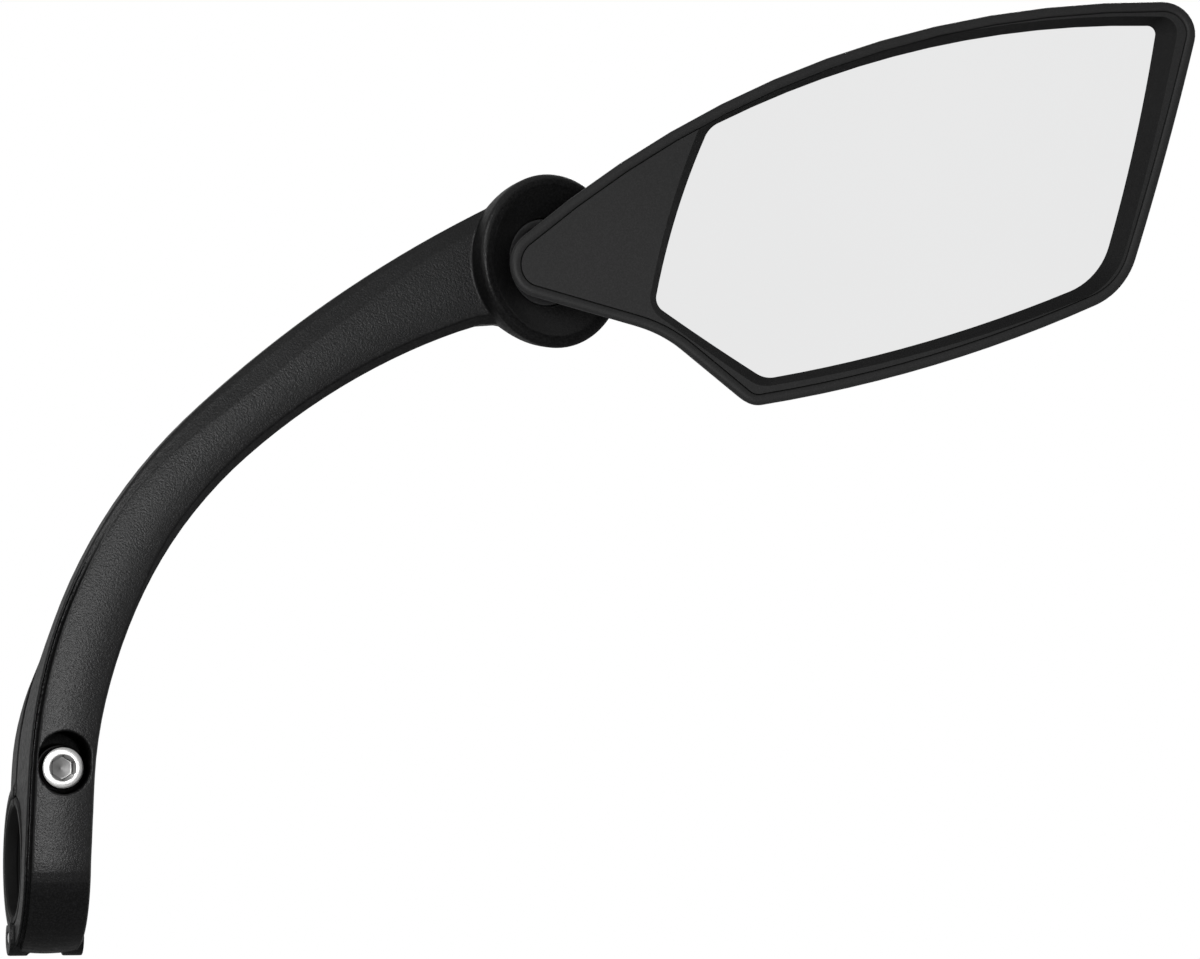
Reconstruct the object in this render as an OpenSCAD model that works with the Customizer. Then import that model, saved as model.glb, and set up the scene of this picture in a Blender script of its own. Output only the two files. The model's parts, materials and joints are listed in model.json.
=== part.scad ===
// Handlebar mirror: hinged bar clamp, curved arm, sprung ball joint and framed mirror head.
// The origin is the centre of the clamped bar. X runs outward along the bar, Y away from the rider, Z up.

/* [Bar clamp] */
// Radius of the bar that the clamp grips
bar_r = 11.1; // [10.6:0.1:11.8]
// Thickness of the rubber liner round the bar
liner_t = 1.6; // [1.2:0.1:2]
// Width of the clamp along the bar
clamp_w = 13.2; // [12.4:0.2:15]
// Wall of the arm in front of the liner
front_wall = 5.7; // [5.2:0.1:6.5]
// Wall of the jaw behind the liner
jaw_wall = 3.3; // [2.8:0.1:4]
// Gap between arm and jaw at the split
split_gap = 1; // [0.8:0.1:1.4]
// Rounding of the jaw's outer edges
jaw_edge_r = 1.6; // [1:0.1:2.2]
// Room round the screw's shank in the arm
shank_gap = 0.25; // [0.2:0.05:0.4]
// Thickness of the jaw between split and nut
lug_t = 4; // [3.4:0.1:5]
// Length of the arm that the jaw's tail covers from behind, from the bar centre
tail_top = 43; // [36:0.5:45]
// Thickness of the jaw's tail at its tip
tail_tip_t = 1.2; // [1:0.1:2]
// Rounding of the edges of the jaw's back
tail_round = 3; // [1.5:0.1:3.4]
// Narrowing of the tail towards its tip
tail_taper = 1.4; // [0.4:0.1:2]
// Length over which the tail narrows
taper_run = 12; // [8:0.5:14]

/* [Clamp hinge] */
// Radius of the arm's two outer knuckles
knuckle_r = 3.6; // [3.3:0.1:3.9]
// Reach of the knuckles below the clamp's round
knuckle_drop = 0.4; // [0.3:0.05:0.6]
// Radius of the jaw's middle knuckle
mid_knuckle_r = 2.4; // [2.1:0.1:2.6]
// Width of the jaw's middle knuckle
mid_knuckle_w = 6.6; // [5.6:0.2:7.4]
// Reach of the outer knuckles past the clamp's sides
knuckle_proud = 0.8; // [0.4:0.1:1.2]
// Radius of the hinge pin
pin_r = 1.25; // [1:0.05:1.4]

/* [Clamp screw] */
// Radius of the screw's shank
screw_r = 2.5; // [2.2:0.1:2.6]
// Radius at the root of the screw's thread
thread_root_r = 2.05; // [1.8:0.05:2.1]
// Length of the screw under its head
screw_len = 20; // [19:0.5:22]
// Radius of the screw's head
head_r = 4.25; // [4:0.05:4.6]
// Height of the screw's head
head_h = 5; // [4.6:0.1:5.4]
// Chamfer round the screw's head
head_edge = 0.4; // [0.3:0.05:0.6]
// Width across flats of the key socket
key_af = 4; // [3.5:0.1:4.5]
// Depth of the key socket
key_depth = 2.6; // [2:0.1:3.2]
// Distance of the screw's axis outward from the middle of the clamp
screw_x = 1.1; // [0:0.1:1.4]
// Distance from the bore to the screw's axis
screw_lift = 5.75; // [5.5:0.05:6.5]
// Radius of the counterbore round the head
counterbore_r = 5.2; // [5:0.1:5.6]
// Reach of the counterbore above the screw's own
counterbore_rise = 2; // [1.6:0.1:2.4]
// Depth of the relief in the counterbore, above the screw's boss
relief_d = 4.5; // [3:0.1:5]
// Depth of the head below the arm's front face
head_recess = 2.95; // [2.2:0.05:3.4]
// Radius of the washer under the head
washer_r = 4.5; // [4.4:0.1:4.9]
// Thickness of that washer
washer_t = 1; // [0.8:0.1:1.4]
// Width across flats of the nut
nut_af = 8; // [7.6:0.1:8.4]
// Height of the nut
nut_h = 4; // [3.6:0.1:4.4]
// Depth of the nut below the jaw's back face
nut_sink = 1.8; // [1:0.1:2.4]

/* [Arm] */
// Lean of the arm's foot outward from upright
arm_lean = 2; // [0:0.5:5]
// Length of the straight foot, from the bar centre
foot_len = 16; // [14:0.5:20]
// Radius of the lower bend
bend1_r = 99; // [85:1:120]
// Turn of the lower bend
bend1_turn = 45; // [40:1:50]
// Radius of the upper bend
bend2_r = 185; // [150:1:220]
// Turn of the upper bend
bend2_turn = 22; // [18:1:26]
// Straight run from the upper bend to the cup
cup_run = 6.1; // [5:0.1:10]
// Drop of the ball centre below the arm's centre line
cup_drop = 2.7; // [1:0.1:4]
// Width of the arm half way up
mid_w = 13.8; // [12.5:0.1:15.5]
// Width that the arm gains towards the cup
flare_w = 10.4; // [7:0.1:12]
// Sweep of the arm's lower edge into the cup
root_sweep = 7.5; // [4:0.1:9]
// Setback of the upper arm's front face behind the clamp's
front_drop = 0.9; // [0:0.1:2]
// Thickness of the upper arm from front to back
limb_t = 9; // [8:0.1:11]
// Crown of the arm's front face
front_crown = 0.7; // [0.3:0.05:0.9]
// Width of the sloped shoulder on the arm's upper edge
shoulder_w = 4.6; // [2:0.1:5.5]
// Width of the bevel on the arm's lower edge
bevel_w = 1.6; // [0.8:0.1:2.2]
// Depth of the groove along the clamp's inner edge
groove_d = 1.1; // [0.6:0.1:1.3]

/* [Ball joint] */
// Place of the ball centre in front of the bar centre
ball_y = -10; // [-12:0.5:-8]
// Turn of the cup outward from straight back to the rider
cup_turn = 21; // [14:1:26]
// Radius of the ball
ball_r = 8; // [7.4:0.1:8.4]
// Thickness of the friction ring round the ball
ring_t = 1.25; // [1:0.05:1.5]
// Height of the cup's lip in front of the ball centre
lip_h = 7; // [6:0.1:7.5]
// Outer radius of the lip
lip_r = 17.8; // [16.8:0.1:18.4]
// Radius of the dished mouth at the lip
mouth_r = 15.5; // [14.8:0.1:15.6]
// Depth of the cup behind the ball centre
cup_depth = 12.6; // [12.4:0.1:14]
// Wall of the cup round the rear cap
cup_wall = 1.9; // [1.6:0.1:2.4]
// Thickness of the pressure pad's flange
pad_flange_t = 1.6; // [1.2:0.1:1.8]
// Radius of the pressure pad's hub
hub_r = 4.6; // [4:0.1:5]
// Wire radius of the pressure spring
wire_r = 0.45; // [0.35:0.05:0.5]
// Mean radius of the pressure spring
coil_r = 6.6; // [6:0.1:7.2]
// Turns of the pressure spring
coil_turns = 2.25; // [1.5:0.25:2.25]
// Thickness of the rear cap
cap_t = 2.2; // [1.8:0.1:2.6]
// Reach of the cap behind the cup
cap_out = 0.4; // [0.2:0.05:0.6]
// Thickness of the cap's lip
cap_lip_t = 1.2; // [1:0.1:1.6]
// Width of the coin slot in the cap
slot_w = 1.6; // [1.4:0.1:2]
// Depth of the coin slot in the cap
slot_d = 1; // [0.8:0.05:1.2]
// Section radius of the cap's seal
seal_r = 0.5; // [0.4:0.05:0.6]

/* [Stud] */
// Radius of the neck between ball and head
neck_r = 4; // [3.8:0.1:4.4]
// Distance from the ball centre to the stud's seat on the head
neck_len = 16; // [15.5:0.1:18]
// Radius of the stud's flange
flange_r = 6.2; // [5.6:0.1:6.6]
// Thickness of the stud's flange
flange_t = 1.8; // [1.4:0.1:2.2]
// Radius of the brass insert
insert_r = 2.9; // [2.7:0.05:3.1]
// Length of the brass insert
insert_len = 8; // [6:0.5:9]
// Radius of the stud screw
stud_screw_r = 2; // [1.7:0.05:2.1]
// Radius of the stud screw's head
stud_head_r = 3.8; // [3.5:0.1:4.2]
// Height of the stud screw's head
stud_head_h = 2.4; // [2:0.1:2.6]
// Chamfer round the stud screw's head
stud_head_edge = 0.6; // [0.4:0.1:0.8]
// Width across flats of the stud screw's key socket
stud_key_af = 2.5; // [2:0.1:3]
// Depth of the stud screw's key socket
stud_key_depth = 1.5; // [1.2:0.1:1.8]
// Thickness of the flat washer under that head
flat_washer_t = 0.8; // [0.6:0.1:1]
// Thickness of the friction washer on the stud's seat
friction_t = 0.5; // [0.4:0.1:0.8]

/* [Mirror head] */
// Reach of the tip's corner inward from the ball
tip_x = -19.2; // [-20:0.1:-18]
// Height of the tip's corner from the ball
tip_z = -6.6; // [-7.2:0.1:-5]
// Reach of the throat between tip and chin from the ball
throat_x = 20; // [17:0.1:22]
// Height of the throat from the ball
throat_z = -16.5; // [-17.5:0.1:-15.5]
// Reach of the chin outward from the ball
chin_x = 38.4; // [36:0.1:44]
// Height of the chin from the ball
chin_z = -30.7; // [-34:0.1:-28]
// Reach of the lower outer corner from the ball
heel_x = 119.3; // [110:0.1:130]
// Height of the lower outer corner from the ball
heel_z = -5; // [-8:0.5:0]
// Reach of the upper outer corner from the ball
peak_x = 137.3; // [128:0.1:148]
// Height of the upper outer corner from the ball
peak_z = 56.2; // [50:0.1:62]
// Rounding of the tip, as its setback along both edges
tip_round = 12.3; // [10:0.1:13]
// Rounding of the throat
throat_round = 6; // [4:0.1:8]
// Rounding of the chin
chin_round = 2.2; // [1.5:0.1:3]
// Rounding of the lower outer corner
heel_round = 7; // [5:0.1:9]
// Rounding of the upper outer corner
peak_round = 8.6; // [6:0.1:10]
// Bulge of the top edge
top_bulge = 16.6; // [14:0.1:19]
// Bulge of the outer end
end_bulge = 0.7; // [0:0.1:1.5]
// Bulge of the bottom edge
bottom_bulge = 2.9; // [1:0.1:4]
// Width of the shell's rim round the bezel
rim_w = 1.95; // [1.6:0.05:2.2]
// Height of the rim in front of the bezel
rim_proud = 0.25; // [0.1:0.05:0.5]
// Wall of the back shell
shell_t = 1.8; // [1.5:0.1:2.4]
// Rise of the crown on the shell's back
crown_h = 0.7; // [0.4:0.1:1]
// Thickness of the wear plate on the crown
plate_t = 0.4; // [0.3:0.05:0.8]
// Thickness of the bezel
bezel_t = 2.6; // [2.2:0.1:3]
// Width of the ledge that the bezel rests on
ledge_w = 0.5; // [0.4:0.05:0.55]

/* [Lens] */
// Thickness of the mirror glass
glass_t = 2; // [1.8:0.1:2.6]
// Thickness of the foam pad behind the glass
foam_t = 2; // [1.6:0.1:2.6]
// Setback of the foam pad's edge behind the lens's
pad_inset = 2.8; // [2.4:0.1:4]
// Width of glass hidden behind the bezel
glass_lap = 0.4; // [0.3:0.05:0.45]
// Reach of the cheek's upper corner from the ball
cheek_top_x = 30.2; // [27:0.1:34]
// Height of the cheek's upper corner from the ball
cheek_top_z = 26; // [24:0.1:26.4]
// Reach of the cheek's lower corner from the ball
cheek_low_x = 18.7; // [17:0.1:22]
// Height of the cheek's lower corner from the ball
cheek_low_z = -10.4; // [-11:0.1:-8]
// Distance of the lens's chin outward from the head's
lens_chin_x = 3.5; // [3:0.1:5]
// Distance of the lens's chin above the head's
lens_chin_z = 5.9; // [5:0.1:7]
// Distance of the lens's lower outer corner inward from the head's
lens_heel_x = 4.8; // [4.4:0.1:6]
// Distance of the lens's lower outer corner above the head's
lens_heel_z = 2.8; // [2.6:0.1:4]
// Distance of the lens's upper outer corner inward from the head's
lens_peak_x = 9.6; // [9:0.1:12]
// Distance of the lens's upper outer corner below the head's
lens_peak_z = 5; // [4.8:0.1:7]
// Rounding of the lens's corners
lens_round = 2; // [1.5:0.1:2.5]

/* [Fits] */
// Clearance of a close fit
fit = 0.05; // [0.02:0.01:0.08]
// Clearance of a part that turns
run_gap = 0.15; // [0.1:0.01:0.2]
// Clearance of a part that swings past another
swing_gap = 0.3; // [0.25:0.05:0.4]

/* [Hidden] */
$fn = 48;

// Clamp places
liner_r = bar_r + liner_t;
bore_r = liner_r + fit;
ring_r = bore_r + front_wall;
front_y = -ring_r;
jaw_r = bore_r + jaw_wall;
split_y = split_gap / 2;
hinge_z = -(ring_r + knuckle_drop - knuckle_r);
screw_z = bore_r + screw_lift;
head_top_y = front_y + head_recess;
seat_y = head_top_y + head_h + washer_t;
// Round boss under the washer
boss_r = washer_r + fit;
shank_hole_r = screw_r + shank_gap;
// The jaw tilts as the screw backs off, so its hole and the nut leave the thread room
loose_gap = 0.5;
jaw_hole_r = screw_r + loose_gap;
nut_seat_y = split_y + lug_t;
lug_back_y = nut_seat_y + nut_h + nut_sink;
nut_r = nut_af / 2 / cos(30);
lug_wall = 0.9;
lug_top = screw_z + nut_r + lug_wall;
// Sweep of the arm's clamp half, from just short of the hinge up to level
clamp_turn = 87;
clamp_turn_end = 6;
clamp_steps = 12;

// Arm path in the upright plane of the bar
bend1_start = foot_len;
bend2_start = bend1_start + bend1_r * bend1_turn * PI / 180;
run_start = bend2_start + bend2_r * bend2_turn * PI / 180;
arm_len = run_start + cup_run;
// The limb ends inside the cup's wall, and its lower edge starts to sweep just outside it
arm_end = arm_len - 5;
cup_root = arm_len - lip_r - 1;
limb_steps = 40;
foot_p = foot_len * [sin(arm_lean), cos(arm_lean)];
mid_heading = arm_lean + bend1_turn;
end_heading = mid_heading + bend2_turn;
bend2_p = foot_p + bend_step(bend1_r, arm_lean, bend1_turn);
run_p = bend2_p + bend_step(bend2_r, mid_heading, bend2_turn);
ball_p = run_p + cup_run * [sin(end_heading), cos(end_heading)]
    + cup_drop * [cos(end_heading), -sin(end_heading)];
// The arm thins from its foot to the upper limb over this stretch of its length
thin_start = foot_len + 6;
thin_end = foot_len + 30;
// The groove runs out, the bevel grows and the shoulder swells and eases over these lengths
groove_out = [45, 68];
bevel_in = [45, 75];
shoulder_in = [68, 110];
shoulder_ease = [125, 155];
// Width of the edge strip and its groove together at the foot, the lower edge's bevel there,
// the least depth of the groove, the draft of its walls and the drop of the strip's outer corner
foot_shoulder = 1.35;
least_edge = 0.5;
least_groove = 0.04;
groove_draft = 0.06;
corner_drop = 0.2;
// The lower edge's sweep into the cup is this much less at the arm's back
back_sweep = 0.35;
// Rounding of the arm's back edges at the foot and on the limb
foot_back_round = 0.8;
limb_back_round = 2.6;
// Extra gap between arm and jaw above the bore
face_gap = 0.1;
// The limb's back falls back to the cup by this much, over this length
root_fall = 4;
root_run = 20;
// The flare starts this far before the upper bend
flare_lead = 6;
// Falls of the shoulder and the bevel for each unit of their width
shoulder_fall = 0.45;
shoulder_mid = [0.35, 0.24];
bevel_fall = 1.5;
// Steps across the crown of the arm's front face
crown_n = 12;

// Ball joint stack, measured along the cup's axis from the ball centre
ring_in_r = ball_r + run_gap;
ring_out_r = ring_in_r + ring_t;
cup_bore_r = ring_out_r + swing_gap;
ring_front = 3.2;
ring_back = -2.6;
throat_h = 3.6;
pad_seat_r = ball_r + swing_gap;
pad_front = -(ball_r * 0.7);
pad_back = pad_front - pad_flange_t;
hub_back = -(pad_seat_r + 1);
cap_front = -(cup_depth + cap_out - cap_t);
cap_back = cap_front - cap_t;
cap_r = cup_bore_r - fit;
cap_edge = cap_lip_t / 2;
cap_lip_r = cup_bore_r + cup_wall - cap_edge / 2;
slot_half = 0.65 * cap_r;
cap_lip_front = -(cup_depth + fit);
cap_lip_back = cap_lip_front - cap_lip_t;
seal_mid = cap_front - cap_t / 2;
cup_back_r = cup_bore_r + cup_wall;
// Outside of the cup: growth of its radius above its back, then setback from the lip's radius at heights
cup_edge = 0.8;
cup_flare = [[0, cup_edge], [0.4, 3], [1.6, 6]];
lip_flare = [[2.4, -2], [0.7, 2.4]];
lip_edge = 1;
dish_bend = 1.4;
dish_step = 0.2;

// Head stack along Y from the ball centre towards the rider
flange_y = ball_y - neck_len;
plate_y = flange_y - friction_t - fit;
crown_y = plate_y - plate_t;
back_y = crown_y - crown_h;
floor_y = back_y - shell_t;
glass_back_y = floor_y - foam_t;
lens_y = glass_back_y - glass_t;
bezel_back_y = lens_y - face_gap;
bezel_front_y = bezel_back_y - bezel_t;
head_front_y = bezel_front_y - rim_proud;
stud_washer_y = floor_y - fit;
plate_r = flange_r + 0.4;
stud_hole_r = stud_screw_r + 1.2;

// The stud screw reaches from under its head into the brass insert
stud_spare = 0.5;
stud_shank = flange_y + insert_len - stud_spare - stud_washer_y + flat_washer_t;

// Head outline corners from the ball axis: reach, height, setback of the rounding
head_corners = [[tip_x, tip_z, tip_round], [throat_x, throat_z, throat_round], [chin_x, chin_z, chin_round],
    [heel_x, heel_z, heel_round], [peak_x, peak_z, peak_round]];
head_bulges = [0, 0, bottom_bulge, end_bulge, top_bulge];
// Lens corners follow the cheek and the head's own corners
lens_corners = [[cheek_top_x, cheek_top_z, lens_round], [cheek_low_x, cheek_low_z, lens_round],
    [chin_x + lens_chin_x, chin_z + lens_chin_z, lens_round],
    [heel_x - lens_heel_x, heel_z + lens_heel_z, heel_round],
    [peak_x - lens_peak_x, peak_z - lens_peak_z, lens_round]];
lens_bulges = [1.2, 0.2, 2.2, 1, 6];
// The bezel's opening is wider than the lens by a sloped wall: its width at each corner, and more rounding
wall_corners = [[-2.2, 1, 1], [-2.1, -1, 1], [-1.9, -2, 0.4], [2.4, -1.6, 0.5], [4.2, 1.6, 2]];
opening_corners = lens_corners + wall_corners;
opening_bulges = [1.2, 0.2, 2.4, 0.8, 6.6];
// Points on each rounded corner and each edge of an outline
corner_n = 10;
edge_n = 12;
// The shell's back is drawn in towards this spine, which starts at the ball's axis
spine_end = [heel_x - 8, (heel_z + peak_z) / 2 - 2];
spine_half = plate_r - 0.8;
// Rings of the shell's rounded back: inward move, share of the depth, share of the crown's rise
bowl = [[15, 1, 1], [10, 1, 0.6], [6.5, 1, 0], [4.4, 0.92, 0], [2.8, 0.76, 0], [1.7, 0.56, 0], [1, 0.38, 0],
    [0.4, 0.18, 0]];
// Rounding of the shell's rim, and the inward move of its floor and of the wall above it
rim_side = 0.15;
rim_round = 0.6;
rim_break = 0.3;
rim_skirt = 0.9;
floor_in = 7.6;
wall_in = 5.6;

// Smooth step from 0 at a to 1 at b
function ramp(s, a, b) = let (t = min(1, max(0, (s - a) / (b - a)))) t * t * (3 - 2 * t);
// Move along a bend of radius r that starts at a heading from upright and turns outward
function bend_step(r, heading, turn) =
    r * [cos(heading) - cos(heading + turn), sin(heading + turn) - sin(heading)];
function arc_turn(len, r) = len / r * 180 / PI;

// Heading and place of the arm's centre line at length s from the bar
function arm_heading(s) =
    s < bend1_start ? arm_lean :
    s < bend2_start ? arm_lean + arc_turn(s - bend1_start, bend1_r) :
    s < run_start ? mid_heading + arc_turn(s - bend2_start, bend2_r) : end_heading;
function arm_point(s) =
    s < bend1_start ? s * [sin(arm_lean), cos(arm_lean)] :
    s < bend2_start ? foot_p + bend_step(bend1_r, arm_lean, arc_turn(s - bend1_start, bend1_r)) :
    s < run_start ? bend2_p + bend_step(bend2_r, mid_heading, arc_turn(s - bend2_start, bend2_r)) :
    run_p + (s - run_start) * [sin(end_heading), cos(end_heading)];
// Width of the arm, distance of its front and back faces before the bar centre
function arm_w(s) = clamp_w + (mid_w - clamp_w) * ramp(s, bend1_start, thin_end)
    + flare_w * pow(max(0, (s - bend2_start + flare_lead) / (arm_len - bend2_start + flare_lead)), 2);
function arm_front(s) = ring_r - front_drop * ramp(s, bend1_start, bend2_start);
function arm_back(s) = split_y + face_gap
    + (ring_r - front_drop - limb_t - split_y - face_gap) * ramp(s, thin_start, thin_end)
    - root_fall * ramp(s, run_start - root_run, arm_len);

// Cross section of the arm: across the arm, then forward from the bar centre
function arm_section(w, vf, vb, shoulder, bevel, groove, back_round) = let (
        edge = vf - front_crown, top = vf - front_crown * pow(1 - 2 * shoulder / w, 2),
        lip = [shoulder_mid[0] * shoulder - w / 2, edge - shoulder_mid[1] * shoulder])
    concat(
    [for (i = [0:crown_n]) let (u = -w / 2 + shoulder + (w - shoulder - bevel) * i / crown_n)
        [u, vf - front_crown * pow(2 * u / w, 2)]],
    [[w / 2, edge - bevel_fall * bevel]],
    [for (a = [0:18:90]) [w / 2 - back_round * (1 - cos(a)), vb + back_round * (1 - sin(a))]],
    [for (a = [0:18:90]) [-w / 2 + back_round * (1 - sin(a)), vb + back_round * (1 - cos(a))]],
    [[-w / 2, edge - shoulder_fall * shoulder - corner_drop], lip, lip + [groove_draft, -groove]],
    [[shoulder - groove_draft - w / 2, top - groove]]);
// Sections along the arm, whose lower edge sweeps out into the cup
function limb_ring(s) = let (
        p = arm_point(s), h = arm_heading(s), w = arm_w(s),
        sweep = root_sweep * pow(max(0, (s - cup_root) / (arm_end - cup_root)), 2),
        groove = groove_d * (1 - ramp(s, groove_out[0], groove_out[1])) + least_groove,
        shoulder = foot_shoulder + (shoulder_w - foot_shoulder) * ramp(s, shoulder_in[0], shoulder_in[1])
            * (1 - 0.5 * ramp(s, shoulder_ease[0], shoulder_ease[1])),
        bevel = least_edge + (bevel_w - least_edge) * ramp(s, bevel_in[0], bevel_in[1]),
        back_round = foot_back_round + (limb_back_round - foot_back_round) * ramp(s, thin_start, thin_end))
    [for (q = arm_section(w, arm_front(s), arm_back(s), shoulder, bevel, groove, back_round))
        let (share = 1 - back_sweep * (arm_front(s) - q[1]) / (arm_front(s) - arm_back(s)),
            u = q[0] + share * sweep * max(0, 2 * q[0] / w))
        [p[0] + u * cos(h), -q[1], p[1] - u * sin(h)]];
// Sections round the bar, from the hinge up to the front
function clamp_ring(a) =
    [for (q = arm_section(clamp_w, ring_r, bore_r - foot_back_round, foot_shoulder, least_edge,
            groove_d + least_groove, face_gap))
        [q[0], -q[1] * cos(a), -q[1] * sin(a)]];

// Outline with bulged edges and rounded corners, anticlockwise from the first corner
function edge_point(c, b, i, t) = let (
        p = [c[i][0], c[i][1]], k = (i + 1) % len(c), q = [c[k][0], c[k][1]], d = q - p,
        out = [d[1], -d[0]] / norm(d))
    p + d * t + 4 * b[i] * t * (1 - t) * out;
function edge_len(c, i) = let (k = (i + 1) % len(c)) norm([c[k][0] - c[i][0], c[k][1] - c[i][1]]);
function corner_arc(a, v, b, n) = let (
        m = (a + b) / 2, w = norm(a - m) / norm(a - v))
    [for (j = [0:n]) let (t = j / n, f = 1 - t)
        (f * f * a + 2 * w * t * f * v + t * t * b) / (f * f + 2 * w * t * f + t * t)];
function outline(c, b) = [for (i = [0:len(c) - 1]) let (
        prev = (i + len(c) - 1) % len(c), next = (i + 1) % len(c),
        t0 = c[i][2] / edge_len(c, i), t1 = 1 - c[next][2] / edge_len(c, i),
        a = edge_point(c, b, prev, 1 - c[i][2] / edge_len(c, prev)), e = edge_point(c, b, i, t0))
    each concat(corner_arc(a, [c[i][0], c[i][1]], e, corner_n),
        [for (j = [1:edge_n - 1]) edge_point(c, b, i, t0 + (t1 - t0) * j / edge_n)])];
// The same outline moved inward by d, outward where d is negative
function inset(pts, d) = [for (i = [0:len(pts) - 1]) let (
        k = len(pts), t = pts[(i + 1) % k] - pts[(i + k - 1) % k])
    pts[i] + d * [-t[1], t[0]] / norm(t)];
// Corners moved inward by d along both of their edges
function inset_corners(c, d) = [for (i = [0:len(c) - 1]) let (
        p = [c[i][0], c[i][1]], before = next_corner(c, i + len(c) - 2),
        u = unit(next_corner(c, i) - p), v = unit(p - before))
    concat(p + d * [-u[1] - v[1], u[0] + v[0]] / (1 + u * v), [c[i][2]])];
function next_corner(c, i) = let (k = (i + 1) % len(c)) [c[k][0], c[k][1]];
function unit(v) = v / norm(v);
// The outline drawn in towards the head's spine, less where there is less room
function draw_in(pts, d) = [for (p = pts) let (
        f = min(1, max(0, p * spine_end / (spine_end * spine_end))), r = f * spine_end - p,
        room = norm(r) - spine_half)
    p + r / norm(r) * d * room / (d + room)];
// The same points drawn onto a circle round the ball's axis
function on_circle(pts, r) = [for (p = pts) r * p / norm(p)];
// Outline points set at a distance along Y, on the ball's axis
function at_y(pts, y) = [for (p = pts) [ball_p[0] + p[0], y, ball_p[1] + p[1]]];

head_line = outline(head_corners, head_bulges);
lens_line = outline(lens_corners, lens_bulges);
opening_line = outline(opening_corners, opening_bulges);
pad_line = outline(inset_corners(lens_corners, pad_inset), lens_bulges);

// Solid skin over rings with equal counts of points, closed at both ends or joined end to end
module skin(rings, joined = false) {
    n = len(rings[0]);
    m = len(rings);
    caps = joined ? [] : [[for (j = [0:n - 1]) j], [for (j = [n - 1:-1:0]) (m - 1) * n + j]];
    polyhedron([for (r = rings) each r], concat(caps,
        [for (i = [0:joined ? m - 1 : m - 2], j = [0:n - 1]) let (k = (j + 1) % n, up = (i + 1) % m)
            each [[i * n + j, up * n + j, up * n + k], [i * n + j, up * n + k, i * n + k]]]));
}

// Straight slab over a head outline, between two places along Y
module slab(pts, y0, y1) {
    translate([ball_p[0], max(y0, y1), ball_p[1]])
        rotate([90, 0, 0]) linear_extrude(abs(y1 - y0)) polygon(pts);
}

// Frames: along the bar, along Y forward, along the cup's axis and along the stud
module along_x(x0, y = 0, z = 0) {
    translate([x0, y, z]) rotate([0, 90, 0]) children();
}
module along_y(y0, x = 0, z = 0) {
    translate([x, y0, z]) rotate([-90, 0, 0]) children();
}
module at_cup() {
    translate([ball_p[0], ball_y, ball_p[1]]) rotate([90, 0, cup_turn]) children();
}
module at_stud() {
    translate([ball_p[0], ball_y, ball_p[1]]) rotate([90, 0, 0]) children();
}
module tube(r_out, r_in, h) {
    difference() {
        cylinder(r = r_out, h = h);
        translate([0, 0, -1]) cylinder(r = r_in, h = h + 2);
    }
}
module hex(af, h) {
    cylinder(r = af / 2 / cos(30), h = h, $fn = 6);
}
// Half of a tube round the bar, on the rider's side or on the far side
module half_tube(r_out, r_in, w, side) {
    intersection() {
        translate([-w / 2, 0, 0]) along_x(0) tube(r_out, r_in, w);
        translate([-w, side > 0 ? split_y : -split_y - 2 * r_out, -2 * r_out])
            cube([2 * w, 2 * r_out, 4 * r_out]);
    }
}
// Straight bore along the bar
module bar_bore(r, w) {
    translate([-w / 2, 0, 0]) along_x(0) cylinder(r = r, h = w);
}

// Arm with the front clamp half, the hinge's outer knuckles and the ball cup
module arm_limb() {
    skin(concat(
        [for (i = [0:clamp_steps]) clamp_ring(clamp_turn - (clamp_turn - clamp_turn_end) * i / clamp_steps)],
        [for (i = [0:limb_steps]) limb_ring(arm_end * i / limb_steps)]));
}
module cup_body() {
    at_cup() rotate_extrude($fn = 96) polygon(concat(
        [[0, -cup_depth], [cup_back_r - cup_edge, -cup_depth]],
        [for (p = cup_flare) [cup_back_r + p[0], -cup_depth + p[1]]],
        [for (p = lip_flare) [lip_r - p[0], p[1]]],
        [[lip_r, lip_h - lip_edge], [lip_r - lip_edge, lip_h], [0, lip_h]]));
}
module cup_hollow() {
    past = 6;
    throat_r = sqrt(cup_bore_r * cup_bore_r - throat_h * throat_h);
    at_cup() rotate_extrude($fn = 96) polygon(concat(
        [[0, -cup_depth - past], [cup_bore_r, -cup_depth - past]],
        [for (a = [0:4:asin(throat_h / cup_bore_r)]) cup_bore_r * [cos(a), sin(a)]],
        [for (t = [0:dish_step:1])
            [throat_r + (mouth_r - throat_r) * t, throat_h + (lip_h - throat_h) * pow(t, dish_bend)]],
        [[mouth_r, lip_h + past], [0, lip_h + past]]));
}
module arm() {
    color("#2b2b2d") difference() {
        union() {
            arm_limb();
            cup_body();
            for (side = [0, 1]) mirror([side, 0, 0]) along_x(mid_knuckle_w / 2 + run_gap, 0, hinge_z)
                cylinder(r = knuckle_r, h = (clamp_w - mid_knuckle_w) / 2 - run_gap + knuckle_proud);
        }
        cup_hollow();
        bar_bore(bore_r, 2 * clamp_w);
        half_tube(bore_r + swing_gap, bar_r, 2 * clamp_w, 1);
        along_x(-clamp_w, 0, hinge_z) cylinder(r = pin_r, h = 2 * clamp_w);
        along_x(-mid_knuckle_w / 2 - run_gap, 0, hinge_z)
            cylinder(r = mid_knuckle_r + swing_gap, h = mid_knuckle_w + 2 * run_gap);
        for (rise = [0, counterbore_rise]) along_y(front_y - head_h, screw_x, screw_z + rise)
            cylinder(r = counterbore_r, h = seat_y - front_y + head_h);
        difference() {
            along_y(seat_y - washer_t, screw_x, screw_z + counterbore_rise)
                cylinder(r = counterbore_r, h = washer_t + relief_d);
            along_y(seat_y - 2 * washer_t, screw_x, screw_z) cylinder(r = boss_r, h = 3 * washer_t + relief_d);
        }
        along_y(seat_y - washer_t, screw_x, screw_z) cylinder(r = shank_hole_r, h = -seat_y + 2 * washer_t);
    }
}

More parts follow.
